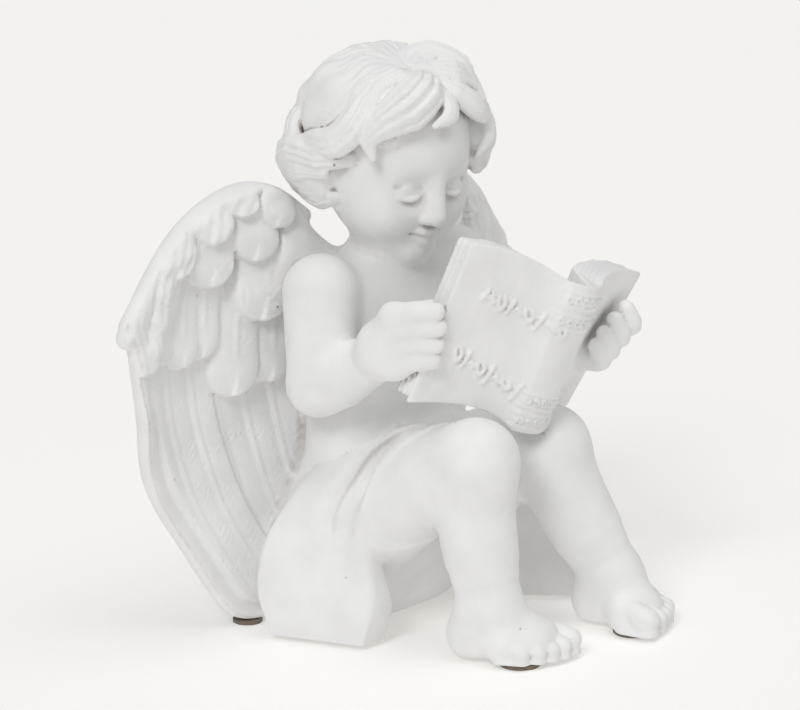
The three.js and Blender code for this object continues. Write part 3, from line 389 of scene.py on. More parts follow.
# Each hand is given by how far its finger tips lie out from the cover's edge, in and up, index finger first.
RIGHT_HAND = {
    "tips": [(4, 0.6, 38), (1.6, -1.2, 32.4), (0, -2, 25.8), (-1, -2.6, 19.6)],
    "joint": (3.2, 5, -2.5),
    "root": (4.5, 14.5, -9.5),
    "wrist": v(-42, -21, 113.5),
    "thumb": (-11, 15, 32),
}
LEFT_HAND = {
    "tips": [(-10, -8, 51), (-14.5, -9, 46), (-17.5, -10, 40), (-19, -10.5, 34.5)],
    "joint": (4.5, -3, -6),
    "root": (4, 9, -10.5),
    "wrist": v(54, -31, 104),
    "thumb": (-9, 16, 38),
}


def hand(form, side, grip):
    def edge(place):
        out, inward, up = place
        base = float(cover_face(np.array(BOOK_HALF * side), np.array(up)))
        return book_point(side * (BOOK_HALF + out), base + inward, up)

    fist = Form(1)
    roots = []
    for tip, length in zip(grip["tips"], (1, 1.04, 1, 0.86)):
        root, joint = (
            edge([t + o * length for t, o in zip(tip, grip[name])]) for name in ("root", "joint")
        )
        limb(fist, [root, joint, edge(tip)], [4.5, 4.3, 4, 3.4], blend=0.5, steps=8)
        roots.append(root)
    wrist = grip["wrist"]
    palm = mix((roots[1] + roots[2]) / 2, wrist, 0.4)
    for root in roots:
        limb(fist, [root, mix(root, palm, 0.7)], [5.2, 8], blend=4)
    limb(fist, [wrist, palm], [9.6, 10.5], blend=6)
    thumb = edge(grip["thumb"])
    limb(fist, [palm, mix(palm, thumb, 0.55) + v(0, 3, 2), thumb], [7, 5.4, 4.4], blend=3, steps=6)
    form.add_form(fist, 1)


SHOULDER, ELBOW = v(40, 6, 136), v(45, 3, 101)
HIP_RIGHT, HIP_LEFT = v(-24, 6, 40), v(24, 6, 40)
THIGH = [25, 20.5, 15.5]
KNEE_RIGHT, KNEE_LEFT = v(-28, -61, 77.5), v(22, -57, 73)
ANKLE_RIGHT, ANKLE_LEFT = v(-25, -66, 21), v(40, -76, 20)
TOES_RIGHT, TOES_LEFT = v(-13, -90, 6), v(43, -99, 6)
# Toes from the little one on the outer side to the big one: how far out and ahead of the ball, and radius.
RIGHT_TOES = [(10.5, -3.5, 3.3), (7, 2.2, 3.3), (3, 6.6, 3.4), (-1.8, 9.8, 3.7), (-8, 11.6, 4.7)]
LEFT_TOES = [(14, 2.6, 3.4), (8.4, 5.4, 3.5), (2.8, 7, 3.6), (-3.2, 7.8, 3.9), (-11, 7.2, 5.2)]


def arm(casting, side, grip):
    form = Form(5)
    flip = v(side, 1, 1)
    shoulder, elbow, wrist = SHOULDER * flip, ELBOW * flip, grip["wrist"]
    upper = [shoulder, mix(shoulder, elbow, 0.5) + v(side, -1, 0), elbow]
    limb(form, upper, [15, 13.6, 11.8], blend=5, steps=6)
    fore = [elbow, mix(elbow, wrist, 0.45) + v(side, 0, -1), wrist]
    limb(form, fore, [11.8, 12.2, 9.6], blend=4, steps=6)
    hand(form, side, grip)
    casting.add_form(form, 3)


def torso(casting):
    form = Form(14)
    ellipsoid(form, v(0, 12, 38), v(42, 35, 34))
    ellipsoid(form, v(0, 7, 78), v(36.5, 28, 34))
    ellipsoid(form, v(0, 7, 116), v(36, 24, 30))
    limb(form, [v(-32, 7, 134), v(32, 7, 134)], [13, 13], blend=12)
    limb(form, [v(0, 7, 138), v(-2, 0, 158)], [17, 16], blend=10)
    casting.add_form(form, 3)


def leg(casting, hip, knee, ankle, toes, places):
    form = Form(6)
    calf = mix(knee, ankle, 0.42) + v(0, 2.5, 0)
    limb(form, [hip, mix(hip, knee, 0.5) + v(0, 0, 3), knee], THIGH, steps=6)
    limb(form, [knee, calf, ankle], [15.5, 15.2, 14.8, 11], steps=10)
    ahead = unit((toes - ankle) * v(1, 1, 0))
    outer = -1 if knee[0] < 0 else 1
    across = v(-ahead[1], ahead[0], 0) * outer

    def down(place, z):
        return v(place[0], place[1], z)

    heel = down(ankle - ahead * 6, 10)
    ball = down(toes - ahead * 11, 8)
    limb(form, [ankle, heel], [11, 10], blend=5)
    limb(form, [ankle - v(0, 0, 2), ball], [11.5, 7.6], blend=6)
    limb(form, [heel, ball], [9, 8.5], blend=6)
    first, last = places[0], places[-1]
    limb(form, [ball + across * (first[0] - 2.5) + ahead * (first[1] - 6),
                ball + across * (last[0] + 3) + ahead * (last[1] - 9)], [6.4, 7.6], blend=4)
    # Each toe narrows behind its round tip, over a flat edge of the sole.
    for out, reach, size in places:
        root = down(ball + across * out * 0.8 + ahead * (reach - 9), 8.5)
        bend = down(ball + across * out + ahead * (reach - 3), size + 5)
        tip = down(ball + across * out + ahead * (reach + 2), size + 2.8)
        limb(form, [root, bend, tip], [size, size * 0.82, size], blend=0.6, steps=6)
        sole = down(tip, SOLE)
        limb(form, [sole, sole - ahead * 8], [size, size], blend=1.2)
    casting.add_form(form, 2.5)


# The cloth's side flaps. Each face is how far it lies out from the middle, a row for each place from front to
# back, a column for each height. Front and back are where the flap ends, at the same heights.
FLAP_LOW, FLAP_STEP = 2.0, 14.8
FLAP_BACK = [14.5, 19, 20.5, 20.5, 17, 12]
RIGHT_FLAP = {
    "start": -31.0, "step": 17.0,
    "face": [[52, 48.6, 42.5, 42, 43, 33], [57.5, 54.2, 47, 46, 45.5, 34], [63, 60.6, 52.5, 49, 43, 31],
             [68, 68, 65.5, 54.5, 40, 22]],
    "front": [-23.5, -27, -22, -21.5, -25, -30],
    "hem": (v(62.5, 14, 2), v(0.95, -0.305, -0.07)),
}
LEFT_FLAP = {
    "start": -56.0, "step": 19.0,
    "face": [[66, 65, 57, 52, 49, 39], [65.5, 64, 56, 51, 47.5, 37], [65, 63, 55, 50, 46, 34],
             [64.5, 62.5, 55, 50, 43, 31], [68, 68, 65.5, 54.5, 40, 22]],
    "front": [-54, -54, -50, -36, -27, -30],
    "hem": (v(62.5, 14, 2), v(0.997, 0.05, -0.07)),
}


def weights(t):
    """The shares of four neighbours in a smooth curve between the middle two."""
    return (
        t * (-0.5 + t * (1 - 0.5 * t)), 1 + t * t * (-2.5 + 1.5 * t),
        t * (0.5 + t * (2 - 1.5 * t)), t * t * (-0.5 + 0.5 * t),
    )


def read_rows(table, u, w):
    """A smooth surface through a table's values, at a place counted in rows and columns."""
    table = np.array(table, F)
    rows, columns = table.shape
    u, w = np.clip(u, 0, rows - 1.001), np.clip(w, 0, columns - 1.001)
    i, j = u.astype(int), w.astype(int)
    across, up = weights(u - i), weights(w - j)
    value = 0
    for m in range(4):
        row = np.clip(i + m - 1, 0, rows - 1)
        for n in range(4):
            value = value + across[m] * up[n] * table[row, np.clip(j + n - 1, 0, columns - 1)]
    return value


def flap(casting, side, shape):
    form = Form(1.5)

    def at(x, y, z):
        out = side * x
        up = (z - FLAP_LOW) / FLAP_STEP
        face = read_rows(shape["face"], (y - shape["start"]) / shape["step"], up)
        front = read_rows([shape["front"], shape["front"]], up * 0, up)
        back = read_rows([FLAP_BACK, FLAP_BACK], up * 0, up)
        d = (out - face) * 0.85
        d = carve(d, y - front, 3)
        d = carve(d, back - y, 7)
        d = carve(d, out - 35, 3)
        return carve(d, 77 - z, 8).astype(F)

    lo, hi = (v(-70, -34, 0), v(-35, 28, 78)) if side < 0 else (v(35, -57, 0), v(70, 28, 78))
    form.add(Shape(at, lo, hi, 1))
    place, outward = shape["hem"]
    flip = v(side, 1, 1)
    cut_flat(form, place * flip, outward * flip, 0.8)
    if side > 0:
        cut_flat(form, v(42, -30, SOLE), v(-0.79, -0.61, 0.09), 1.6)
    casting.add_form(form, 1.5)


def valleys(casting, side):
    """Two soft valleys in the cloth, running down from the hip."""
    flip = v(side, 1, 1)
    for places in (
        [v(51, -5, 40), v(50.8, -4, 54), v(44, -8, 68), v(34, -12, 78), v(25, -15, 83)],
        [v(49.6, -10.8, 30), v(48.2, -10.5, 42), v(48, -14, 56), v(40.5, -21, 72), v(30, -29, 84)],
    ):
        limb(casting, [p * flip for p in places], [0.4, 3, 3.8, 3.2, 1.5], blend=5, cut=True, steps=16)


def wrap(casting, side, hip, knee):
    """The cloth over one thigh, ending in an edge that runs up over it to the lap."""
    form = Form(1)
    limb(form, [hip, mix(hip, knee, 0.5) + v(0, 0, 3), knee], [r + 1.4 for r in THIGH], steps=6)
    cut_flat(form, v(side * 44, -27, 64), v(side * 0.634, -0.766, -0.114), 1.2)
    cut_flat(form, v(0, 0, 30), v(0, 0, -1), 2)
    casting.add_form(form, 0.8)


def seat(casting):
    form = Form(8)
    ellipsoid(form, v(0, 10, 26), v(52, 36, 30))
    cut_flat(form, v(0, -5, SOLE), v(0, -0.86, -0.52), 4)
    casting.add_form(form, 6)


def lap(casting):
    """The cloth stretched over the lap, between the thighs."""
    limb(casting, [v(-24, -28, 70), v(0, -28, 71), v(24, -28, 69)], [13, 12.5, 13], blend=8)
    limb(casting, [v(0, 0, 70), v(0, -35, 70)], [14, 11.5], blend=8)


# The head's own frame: it is turned a little to the figure's right and looks down at the book.
HEAD = v(-4, 1, 186)
HEAD_SIZE = 0.87  # the head is drawn at this share of its own units
HEAD_TURN = turned(20, 0, -12, "ZYX")
SKULL = v(34, 38, 37)


def head_point(x, y, z):
    return HEAD_TURN @ v(x, y, z) * HEAD_SIZE + HEAD


def head(casting):
    """A calm, plain putto's face: eyes on the head's middle line, an eye's width apart, lids lowered."""
    form = Form(8)

    def part(x, y, z, rx, ry, rz, **more):
        ellipsoid(form, head_point(x, y, z), v(rx, ry, rz) * HEAD_SIZE, turn=HEAD_TURN, **more)

    part(0, 3, 6, *SKULL)
    part(0, -9, -15, 27, 25, 25, blend=12)
    for s in (-1, 1):
        part(s * 14, -18, -15, 13, 14, 13, blend=8)
    part(0, -23, -31, 9, 9, 8, blend=8)
    for s in (-1, 1):
        part(s * 12.5, -39, -1, 9, 8, 6, blend=7, cut=True)
        part(s * 12.5, -25.5, -2, 7.2, 7, 6, blend=1.5)
        lid = [head_point(s * 5.8, -31.2, -3.2), head_point(s * 9, -33.4, -3.6),
               head_point(s * 13, -33.6, -4.4), head_point(s * 17.5, -30.8, -4)]
        limb(form, lid, [0.6, 1, 1, 0.6], blend=1.6, steps=8)
        crease = [head_point(s * 6.5, -31.5, 0.4), head_point(s * 12.5, -33.2, 2),
                  head_point(s * 18.5, -29, 0.2)]
        limb(form, crease, [0.3, 0.5, 0.3], blend=1.6, steps=8, cut=True)
    limb(form, [head_point(0, -33, 2), head_point(0, -38.5, -10.5)], [3, 3.6], blend=4)
    part(0, -39, -12.5, 4, 3.8, 3.4, blend=2)
    for s in (-1, 1):
        part(s * 4, -36.5, -13.5, 2.6, 3, 2.4, blend=1.5)
        part(s * 2.1, -38.6, -16.4, 0.8, 1, 0.8, blend=1.4, cut=True)
        upper = [head_point(s * 8, -31.6, -21.6), head_point(s * 3, -35.6, -20.2), head_point(0, -35.4, -21)]
        limb(form, upper, [0.7, 1.9, 1.6], blend=1.4, steps=8)
    lower = [head_point(-6, -32.4, -24), head_point(0, -34.6, -25), head_point(6, -32.4, -24)]
    limb(form, lower, [0.9, 2.3, 0.9], blend=1.6, steps=8)
    mouth = [head_point(-8.6, -32.2, -21.8), head_point(-3, -36.9, -22.4), head_point(0, -37.3, -22.8),
             head_point(3, -36.9, -22.4), head_point(8.6, -32.2, -21.8)]
    limb(form, mouth, [0.3, 0.35, 0.3], blend=1.3, steps=10, cut=True)
    part(0, -31.5, -33, 6, 4, 4.5, blend=5)
    casting.add_form(form, 5)


def scalp(round_, up, off=0.0):
    """A place over the skull: degrees round from the face, degrees up, and height off the skull."""
    a, e = math.radians(round_), math.radians(up)
    return head_point(
        (SKULL[0] + off) * math.sin(a) * math.cos(e),
        3 - (SKULL[1] + off) * math.cos(a) * math.cos(e),
        6 + (SKULL[2] + off) * math.sin(e),
    )


# Each lock is its places [degrees round from the face, degrees up, height off the skull] and its half widths.
LOCKS = [
    # Over the brow, from the parting to the right temple, and small curls beside the parting.
    ([(2, 76, 1), (-16, 60, 5), (-36, 44, 7), (-51, 31, 8), (-57, 20, 8), (-51, 9, 8)],
     [4, 10, 11, 7.5, 4.5, 1.6]),
    ([(8, 66, 1), (9, 52, 5), (3, 41, 7), (-14, 35, 7)], [2.5, 4.5, 4.2, 1.6]),
    ([(-34, 78, 1), (-52, 64, 4), (-66, 50, 5), (-65, 36, 6), (-61, 22, 5)], [3, 7, 6.5, 5, 2]),
    ([(-44, 72, 2), (-66, 59, 5), (-79, 48, 6), (-78, 37, 7), (-71, 28, 6.5)], [2.5, 4.6, 4.6, 3, 1.4]),
    # From the crown to the right ear, ending in an upturned curl.
    ([(-58, 64, 2), (-70, 42, 5.5), (-70, 23, 8), (-77, 10, 9), (-91, 4, 9.5), (-104, -2, 10)],
     [3, 7, 8, 7.5, 5.5, 2]),
    ([(-96, 72, 0), (-88, 56, 2.5), (-88, 36, 3.5), (-93, 19, 5), (-104, 8, 7)], [4, 7.5, 7.5, 6.5, 3]),
    ([(-136, 70, 0), (-124, 58, 2), (-114, 48, 3.5), (-111, 37, 4.5), (-101, 28, 5)],
     [4, 6.5, 6.5, 4.5, 1.8]),
    ([(-112, 44, 0), (-110, 30, 2), (-114, 14, 4), (-124, 4, 7)], [4, 7, 7, 3]),
    ([(-170, 66, 0), (-150, 48, 2.5), (-144, 32, 3.5), (-137, 14, 4.5), (-132, 2, 8)], [5, 9, 9, 7.5, 3]),
    # Curls that roll outwards over the right ear, and short locks at the nape.
    ([(-110, 15, 3), (-123, 3, 8), (-113, -6, 10), (-96, -6, 9.5), (-80, -1, 7)], [4, 6.5, 6.5, 5.5, 2]),
    ([(-68, 1, 2), (-86, -4, 9), (-106, -9, 12), (-117, -20, 12.5), (-110, -33, 10), (-90, -37, 8),
      (-73, -29, 5)], [3.5, 6.5, 7.5, 8, 7.5, 6, 2.5]),
    ([(-80, -12, 8), (-96, -16, 12), (-104, -24, 12.5), (-95, -31, 10), (-82, -28, 8)], [3, 5, 5.5, 4.5, 2]),
    ([(-86, -34, 3), (-74, -42, 4), (-62, -46, 2)], [5, 4.5, 2]),
    ([(-66, -18, 1), (-64, -30, 2.5), (-56, -39, 1.5)], [3, 3, 1.5]),
    # From the parting over the left brow and temple.
    ([(150, 74, 2), (104, 68, 6), (78, 54, 9), (66, 45, 9.5)], [5, 8.5, 8.5, 4]),
    ([(24, 80, 2), (58, 60, 6), (67, 45, 8), (61, 34, 10)], [4, 8, 7, 3]),
    ([(20, 70, 1), (30, 52, 5.5), (43, 38, 7.5), (56, 30, 8.5), (66, 35, 9.5)], [3, 6.5, 7, 5.5, 2]),
    ([(70, 34, 3), (62, 22, 8), (54, 11, 8.5), (45, 4, 5)], [5, 7, 6, 2.4]),
    ([(84, 24, 4), (74, 6, 9), (62, -6, 8), (52, -6, 5)], [5, 8, 6.5, 2.4]),
    ([(96, 60, 2), (90, 40, 6), (92, 20, 8), (100, 4, 9)], [5, 9, 8.5, 4]),
    ([(78, 0, 2), (94, -6, 9), (110, -14, 12), (114, -27, 11), (96, -36, 8), (78, -30, 5)],
     [4, 7, 8, 8, 6, 2.5]),
]


def hair(casting):
    form = Form(0.7)
    middle = head_point(0, 3, 6)

    def strand(places, wides, thick=0.62, phase=0.0):
        wides = [w * HEAD_SIZE for w in wides]
        lock(form, [scalp(r, u, o - 1) for r, u, o in places], wides, [w * thick for w in wides],
             lambda p: unit(p - middle), steps=12, grooves=1.9, depth=0.36, fine=0.05, phase=phase)

    # A cap that the locks lie on, open over the face, and the mass at the left temple.
    ellipsoid(form, head_point(0, 10, 10), v(34.5, 34, 33.5) * HEAD_SIZE, turn=HEAD_TURN, blend=3)
    ellipsoid(form, scalp(64, 10, 0), v(7, 9, 13), blend=3)
    # Broad locks that fan out from the crown, under the others, and the soft masses under the side curls.
    for i, r in enumerate((-165, -142, -120, -98, -76, -54, 84)):
        strand([(r * 0.8, 82, 0), (r - 5, 60, 2), (r + 2, 40, 2.5), (r + 6, 22, 2)],
               [5, 10.5, 11, 8], 0.42, 0.7 * i)
    strand([(10, 84, 0), (30, 76, 1), (52, 66, 1.5), (72, 54, 2)], [5, 9, 9, 6], 0.45)
    strand([(60, 86, 0), (92, 77, 1), (104, 65, 1.5), (110, 50, 2)], [6, 10, 10, 7], 0.5, 1)
    ellipsoid(form, scalp(-128, -4, 1), v(7, 8, 9), blend=3)
    for round_, up_ in ((-128, 14), (-106, 14), (-122, 30), (-100, 30)):
        ellipsoid(form, scalp(round_, up_, -1), v(9, 10, 11), blend=3)
    for side in (-1, 1):
        ellipsoid(form, scalp(side * 98, -20, 1), v(9, 11, 12), blend=5)
    for i, (places, wides) in enumerate(LOCKS):
        strand(places, wides, phase=0.9 * i)
    # The back of the head, in rows of locks that sweep apart from the crown.
    for i, r in enumerate((-168, 172, 150, 128, 108)):
        sweep = -12 if r < 0 else 12
        strand([(r * 0.8, 78, 0), (r - sweep, 56, 3), (r, 34, 4), (r + sweep * 0.6, 14, 6)],
               [4, 9, 9, 4], 0.5, i)
        low = r + (9 if i % 2 else -9)
        strand([(low - sweep * 0.5, 34, 3), (low, 12, 7), (low + sweep * 0.6, -6, 8),
                (low + sweep * 1.4, -16, 11)], [5, 8.5, 8, 3], 0.55, i + 0.5)
        strand([(low + 8, 4, 2), (low + 4, -14, 5), (low - sweep, -28, 6), (low - sweep * 1.5, -36, 9)],
               [4, 8, 7, 3], 0.55, i + 1)
    casting.add_form(form, 1)


# The wing's outline, as places out from the middle and up from the ground.
OUTLINE = [
    (8, 140), (20, 152), (28, 163), (38, 173), (53, 177), (68, 173), (82, 165), (92, 157), (101, 147),
    (108, 138), (115, 130), (111.5, 121), (109.5, 108), (106.5, 92), (100.5, 72), (91.5, 53), (80, 35),
    (70, 18), (60, 5), (45, 1), (31, 4), (22, 20), (14, 60), (8, 110),
]


def to_outline(a, z):
    """Signed distance to the outline, negative inside it."""
    line = spline([*OUTLINE, OUTLINE[0]], 120, even=True)[:-1]
    best = np.full(a.shape, FAR)
    inside = np.zeros(a.shape, bool)
    for p, q in zip(line, np.roll(line, 1, 0)):
        ex, ey = q - p
        wx, wy = a - p[0], z - p[1]
        t = np.clip((wx * ex + wy * ey) / (ex * ex + ey * ey), 0, 1)
        best = np.minimum(best, np.hypot(wx - ex * t, wy - ey * t))
        if ey:
            inside ^= ((p[1] > z) != (q[1] > z)) & (a < ex * wy / ey + p[0])
    return np.where(inside, -best, best)


# Feathers as (places from root to tip, half width, height of root and of tip): the long flight feathers, the
# outer ones over the inner ones, then the tiers of short ones, each over the one below it.
FEATHERS = []
for i in range(7):
    t = i / 6
    step = 3.8 if i < 3 else 1.8  # the outer three lie in front of the others
    FEATHERS.append((
        [(106 - 78 * t, 118 - 10 * t), (103 - 80 * t, 88 - 6 * t), (88 - 74 * t, 50 - 4 * t),
         (62 - 56 * t, 8 + 6 * t)],
        11, step - 0.6 * t, step + 0.4 - 0.6 * t,
    ))


def tier(tips, length, low, high):
    """Short feathers side by side, given by the lowest point and half width of each."""
    for i, (a, z, wide) in enumerate(tips):
        end = z + wide * 0.9
        places = [(a - 7, end + length), (a - 2, end + length / 2), (a, end)]
        FEATHERS.append((places, wide, low, high - i % 2 * 0.7))


tier([(108, 111, 6.5), (98, 113, 7.5), (86, 110, 8), (75, 112, 8), (60, 95, 11.5), (42, 98, 10),
      (27, 104, 9)], 32, 3.6, 8.2)
tier([(90, 146, 9), (72, 140, 10), (48, 124, 12.5), (26, 124, 10)], 20, 6.6, 11.6)
tier([(73, 157, 9), (53, 148, 10), (33, 140, 10), (18, 140, 8)], 12, 9.4, 14.6)
tier([(60, 166, 8), (43, 160, 8.5)], 8, 12, 16)
# A narrow strip of small feathers lies along the leading edge.
tier([(93 + 1.6 * i, 146 - 5 * i, 4.2) for i in range(8)], 7, 8, 10)


def plumage(a, z):
    """How far the feathers stand out of the wing's front, with their shafts and barbs."""
    most = np.zeros(a.shape)
    for places, wide, low, high in FEATHERS:
        path = spline(places, 10, even=True)
        best, where, side = np.full(a.shape, FAR), np.zeros(a.shape), np.zeros(a.shape)
        run = 0.0
        for p, q in zip(path, path[1:]):
            ex, ey = q - p
            length = math.hypot(ex, ey)
            wx, wy = a - p[0], z - p[1]
            t = np.clip((wx * ex + wy * ey) / length**2, 0, 1)
            d = np.hypot(wx - ex * t, wy - ey * t)
            closer = d < best
            best, where = np.where(closer, d, best), np.where(closer, run + t * length, where)
            side = np.where(closer, np.sign(wx * ey - wy * ex), side)
            run += length
        edge = wide - best
        waver = 0.5 * np.sin(0.9 * best + 0.2 * where)
        barbs = 0.2 * np.cos(2 * math.pi * (where + 0.7 * best + waver) / 2.7)
        barbs = barbs * smooth(best / 1.5) * (0.7 + 0.3 * np.sin(0.31 * where + 2 * low))
        shaft = 0.35 * np.exp(-((best / 1.1) ** 2)) - 0.2 * np.exp(-(((best - 2) / 0.8) ** 2))
        shaft = shaft * smooth(where / 8) * smooth((run - where) / 9)
        lean = 0.9 * side * best / wide
        round_ = np.sqrt(1 - np.clip(1 - edge / wide, 0, 1) ** 2)
        high_here = mix(low, high, np.clip(where / run, 0, 1)) + lean + 2.1 * round_
        most = np.maximum(most, (high_here + barbs + shaft) * smooth(edge / 0.9 + 0.5))
    return most


# Both maps are drawn once on a fine grid, then read between its points.
MAP_STEP, MAP_LOW, MAP_WIDE, MAP_TALL = 0.4, -6.0, 350, 480


def map_of(height):
    a, z = np.meshgrid(MAP_LOW + MAP_STEP * np.arange(MAP_WIDE), MAP_LOW + MAP_STEP * np.arange(MAP_TALL))
    grid = height(a, z).astype(F)

    def read(a, z):
        x = np.clip((a - MAP_LOW) / MAP_STEP, 0, MAP_WIDE - 1.01)
        y = np.clip((z - MAP_LOW) / MAP_STEP, 0, MAP_TALL - 1.01)
        i, j = x.astype(int), y.astype(int)
        x, y = x - i, y - j
        return mix(mix(grid[j, i], grid[j, i + 1], x), mix(grid[j + 1, i], grid[j + 1, i + 1], x), y)

    return read


edge_map, plumage_map = map_of(to_outline), map_of(plumage)
WING_THICK = 11.0
# The thick leading edge's own line, from the shoulder to the knob where it turns down.
LEADING = [
    (24, 161), (38, 170), (53, 173), (68, 169), (82, 161), (92, 152), (101, 142), (108, 133), (112, 126),
]


def wing(casting, side):
    form = Form(4)

    def sweep(a, z):
        return 30 + 12 * smooth(a / 90) - 5 * smooth((60 - z) / 60)

    def at(x, y, z):
        a = side * x
        edge = edge_map(a, z)
        rim = np.exp(edge / 9) * smooth((z - 60) / 40)
        cup = sweep(a, z) - 9 * rim
        # A plain bevelled rim runs round the lower part, outside the feathers.
        plain = smooth((112 - z) / 24) * (1 - smooth((-edge - 6.5) / 1.6)) * smooth((a - 32) / 10)
        relief = plumage_map(a, z) * (1 - 0.75 * rim)
        # Fine downy strokes cover the leading edge.
        down = np.cos(0.9 * edge + 0.35 * a + 1.5 * np.sin(0.21 * z)) * np.cos(0.33 * (a - z) + 0.4 * edge)
        relief = relief + 0.5 * down * smooth((z - 112) / 10) * smooth((edge + 15) / 5)
        relief = mix(relief, 4.2 + 0.25 * edge, plain)
        front = cup + 3 - relief
        back = cup + WING_THICK - 4 * np.exp(edge / 9)
        return carve(np.maximum(front - y, y - back) * 0.9, -edge, 3.5).astype(F)

    lo, hi = (v(-126, 14, 0), v(0, 70, 186)) if side < 0 else (v(0, 14, 0), v(126, 70, 186))
    form.add(Shape(at, lo, hi, 4))
    limb(form, [v(side * 14, 20, 128), v(side * 34, 33, 146)], [13, 9], blend=10)
    # The roll along it, with the knob and a small bead.
    places = [v(side * a, sweep(a, z) - 2.5, z) for a, z in LEADING]
    limb(form, places, [3.4, 4, 4.2, 4.2, 4, 3.9, 3.8, 3.7, 3.6], blend=3, steps=24)
    knob = v(side * 112, sweep(112, 127) - 2.5, 125)
    ellipsoid(form, knob, v(4.2, 4.2, 4.2), blend=1)
    ellipsoid(form, knob + v(side * 2.4, -3.4, 0.6), v(1.9, 1.9, 1.9), blend=0.3)
    casting.add_form(form, 5)


def figure():
    casting = Form(3)
    torso(casting)
    seat(casting)
    leg(casting, HIP_RIGHT, KNEE_RIGHT, ANKLE_RIGHT, TOES_RIGHT, RIGHT_TOES)
    leg(casting, HIP_LEFT, KNEE_LEFT, ANKLE_LEFT, TOES_LEFT, LEFT_TOES)
    wrap(casting, -1, HIP_RIGHT, KNEE_RIGHT)
    wrap(casting, 1, HIP_LEFT, KNEE_LEFT)
    lap(casting)
    flap(casting, -1, RIGHT_FLAP)
    flap(casting, 1, LEFT_FLAP)
    valleys(casting, -1)
    valleys(casting, 1)
    wing(casting, -1)
    wing(casting, 1)
    arm(casting, -1, RIGHT_HAND)
    arm(casting, 1, LEFT_HAND)
    head(casting)
    hair(casting)
    book(casting)
    cut_flat(casting, v(0, 0, SOLE), v(0, 0, -1), 0.6)
    return casting


def samples(form, cell):
    """The form's distances on a grid, worked out only near its skin. Elsewhere only the sign is true."""
    block, coarse = 20, 5
    origin = form.lo - 3 * cell
    count = np.ceil((form.hi - form.lo + 6 * cell) / (cell * block)).astype(int)
    shape = count * block
    rough_cell = cell * coarse
    axes = [origin[k] + rough_cell * (np.arange(shape[k] // coarse) + 0.5) - cell / 2 for k in range(3)]
    rough = np.empty([len(a) for a in axes], F)
    slab = 4
    for i in range(0, len(axes[0]), slab):
        xs = axes[0][i : i + slab]
        lo, hi = v(xs[0], axes[1][0], axes[2][0]), v(xs[-1], axes[1][-1], axes[2][-1])
        x, y, z = (g.astype(F) for g in np.meshgrid(xs, axes[1], axes[2], indexing="ij"))
        rough[i : i + slab] = form.near(lo, hi, 20).value(x, y, z)
    near_skin = np.abs(rough) < rough_cell * 1.5 + 1
    field = np.sign(rough) * 3 * cell
    for axis in range(3):
        field = np.repeat(field, coarse, axis)
    field = field.astype(F)
    per = block // coarse
    for i in range(count[0]):
        for j in range(count[1]):
            for k in range(count[2]):
                part = near_skin[i * per : (i + 1) * per, j * per : (j + 1) * per, k * per : (k + 1) * per]
                if not part.any():
                    continue
                start = np.array([i, j, k]) * block
                lo = origin + start * cell
                hi = lo + block * cell
                local = form.near(lo, hi, cell)
                if local is None:
                    continue
                line = [(lo[n] + cell * np.arange(block)).astype(F) for n in range(3)]
                x, y, z = np.meshgrid(*line, indexing="ij")
                here = tuple(slice(s, s + block) for s in start)
                field[here] = local.value(x, y, z)
    return field, origin


def skin(form, cell):
    """Points and four-sided faces of the form's skin, in the frame, in metres, and the samples used."""
    field, origin = samples(form, cell)
    grid = openvdb.FloatGrid(3 * cell)
    grid.copyFromArray(np.clip(field, -3 * cell, 3 * cell))
    points, faces = grid.convertToQuads(isovalue=0.0)
    return (points * cell + origin + SHIFT) * MM, faces, field, origin


def paint_crevice_shade(mesh, field, origin, cell):
    """Marks on each point how closed in it is, for the painted shade in the hollows: a little off the skin,
    the field is low in a crevice.
    """
    count = len(mesh.vertices)
    place, normal = np.empty(count * 3, F), np.empty(count * 3, F)
    mesh.vertices.foreach_get("co", place)
    mesh.vertices.foreach_get("normal", normal)
    place, normal = place.reshape(-1, 3) / F(MM) - SHIFT, normal.reshape(-1, 3)
    closed = np.zeros(count)
    offsets = (0.8, 1.1, 1.4, 1.7, 2.0)
    for off in offsets:
        at = ((place + normal * off - origin) / cell + 0.5).astype(int)
        at = np.clip(at, 0, np.array(field.shape) - 1)
        value = np.clip(field[at[:, 0], at[:, 1], at[:, 2]], 0, off)
        closed += (1 - value / off) / len(offsets)
    mark = mesh.attributes.new("crevice_shade", "FLOAT", "POINT")
    mark.data.foreach_set("value", np.clip(closed, 0, 1).astype(F))


def mesh_of(name, points, faces):
    mesh = bpy.data.meshes.new(name)
    mesh.vertices.add(len(points))
    mesh.loops.add(faces.size)
    mesh.polygons.add(len(faces))
    mesh.vertices.foreach_set("co", points.astype(F).ravel())
    mesh.loops.foreach_set("vertex_index", faces.astype(np.int32).ravel())
    mesh.polygons.foreach_set("loop_start", np.arange(0, faces.size, faces.shape[1], dtype=np.int32))
    mesh.update(calc_edges=True)
    return mesh


def piece(name, mesh, material, node):
    obj = bpy.data.objects.new(name, mesh)
    bpy.context.scene.collection.objects.link(obj)
    mesh.materials.append(material)
    mesh.polygons.foreach_set("use_smooth", np.ones(len(mesh.polygons), bool))
    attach(obj, "root")
    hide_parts(node)
    return obj


def thinned(mesh, faces):
    """The mesh brought down to about so many triangles, keeping its finest relief."""
    obj = bpy.data.objects.new("thinning", mesh)
    bpy.context.scene.collection.objects.link(obj)
    triangles = 2 * len(mesh.polygons)
    modifier = obj.modifiers.new("thin", "DECIMATE")
    modifier.ratio = min(1.0, faces / triangles)
    modifier.use_collapse_triangulate = True
    made = bpy.data.meshes.new_from_object(obj.evaluated_get(bpy.context.evaluated_depsgraph_get()))
    bpy.data.objects.remove(obj)
    return made


def node_tree(name):
    material = bpy.data.materials.new(name)
    material.use_nodes = True
    tree = material.node_tree
    return material, tree, tree.nodes["Principled BSDF"]


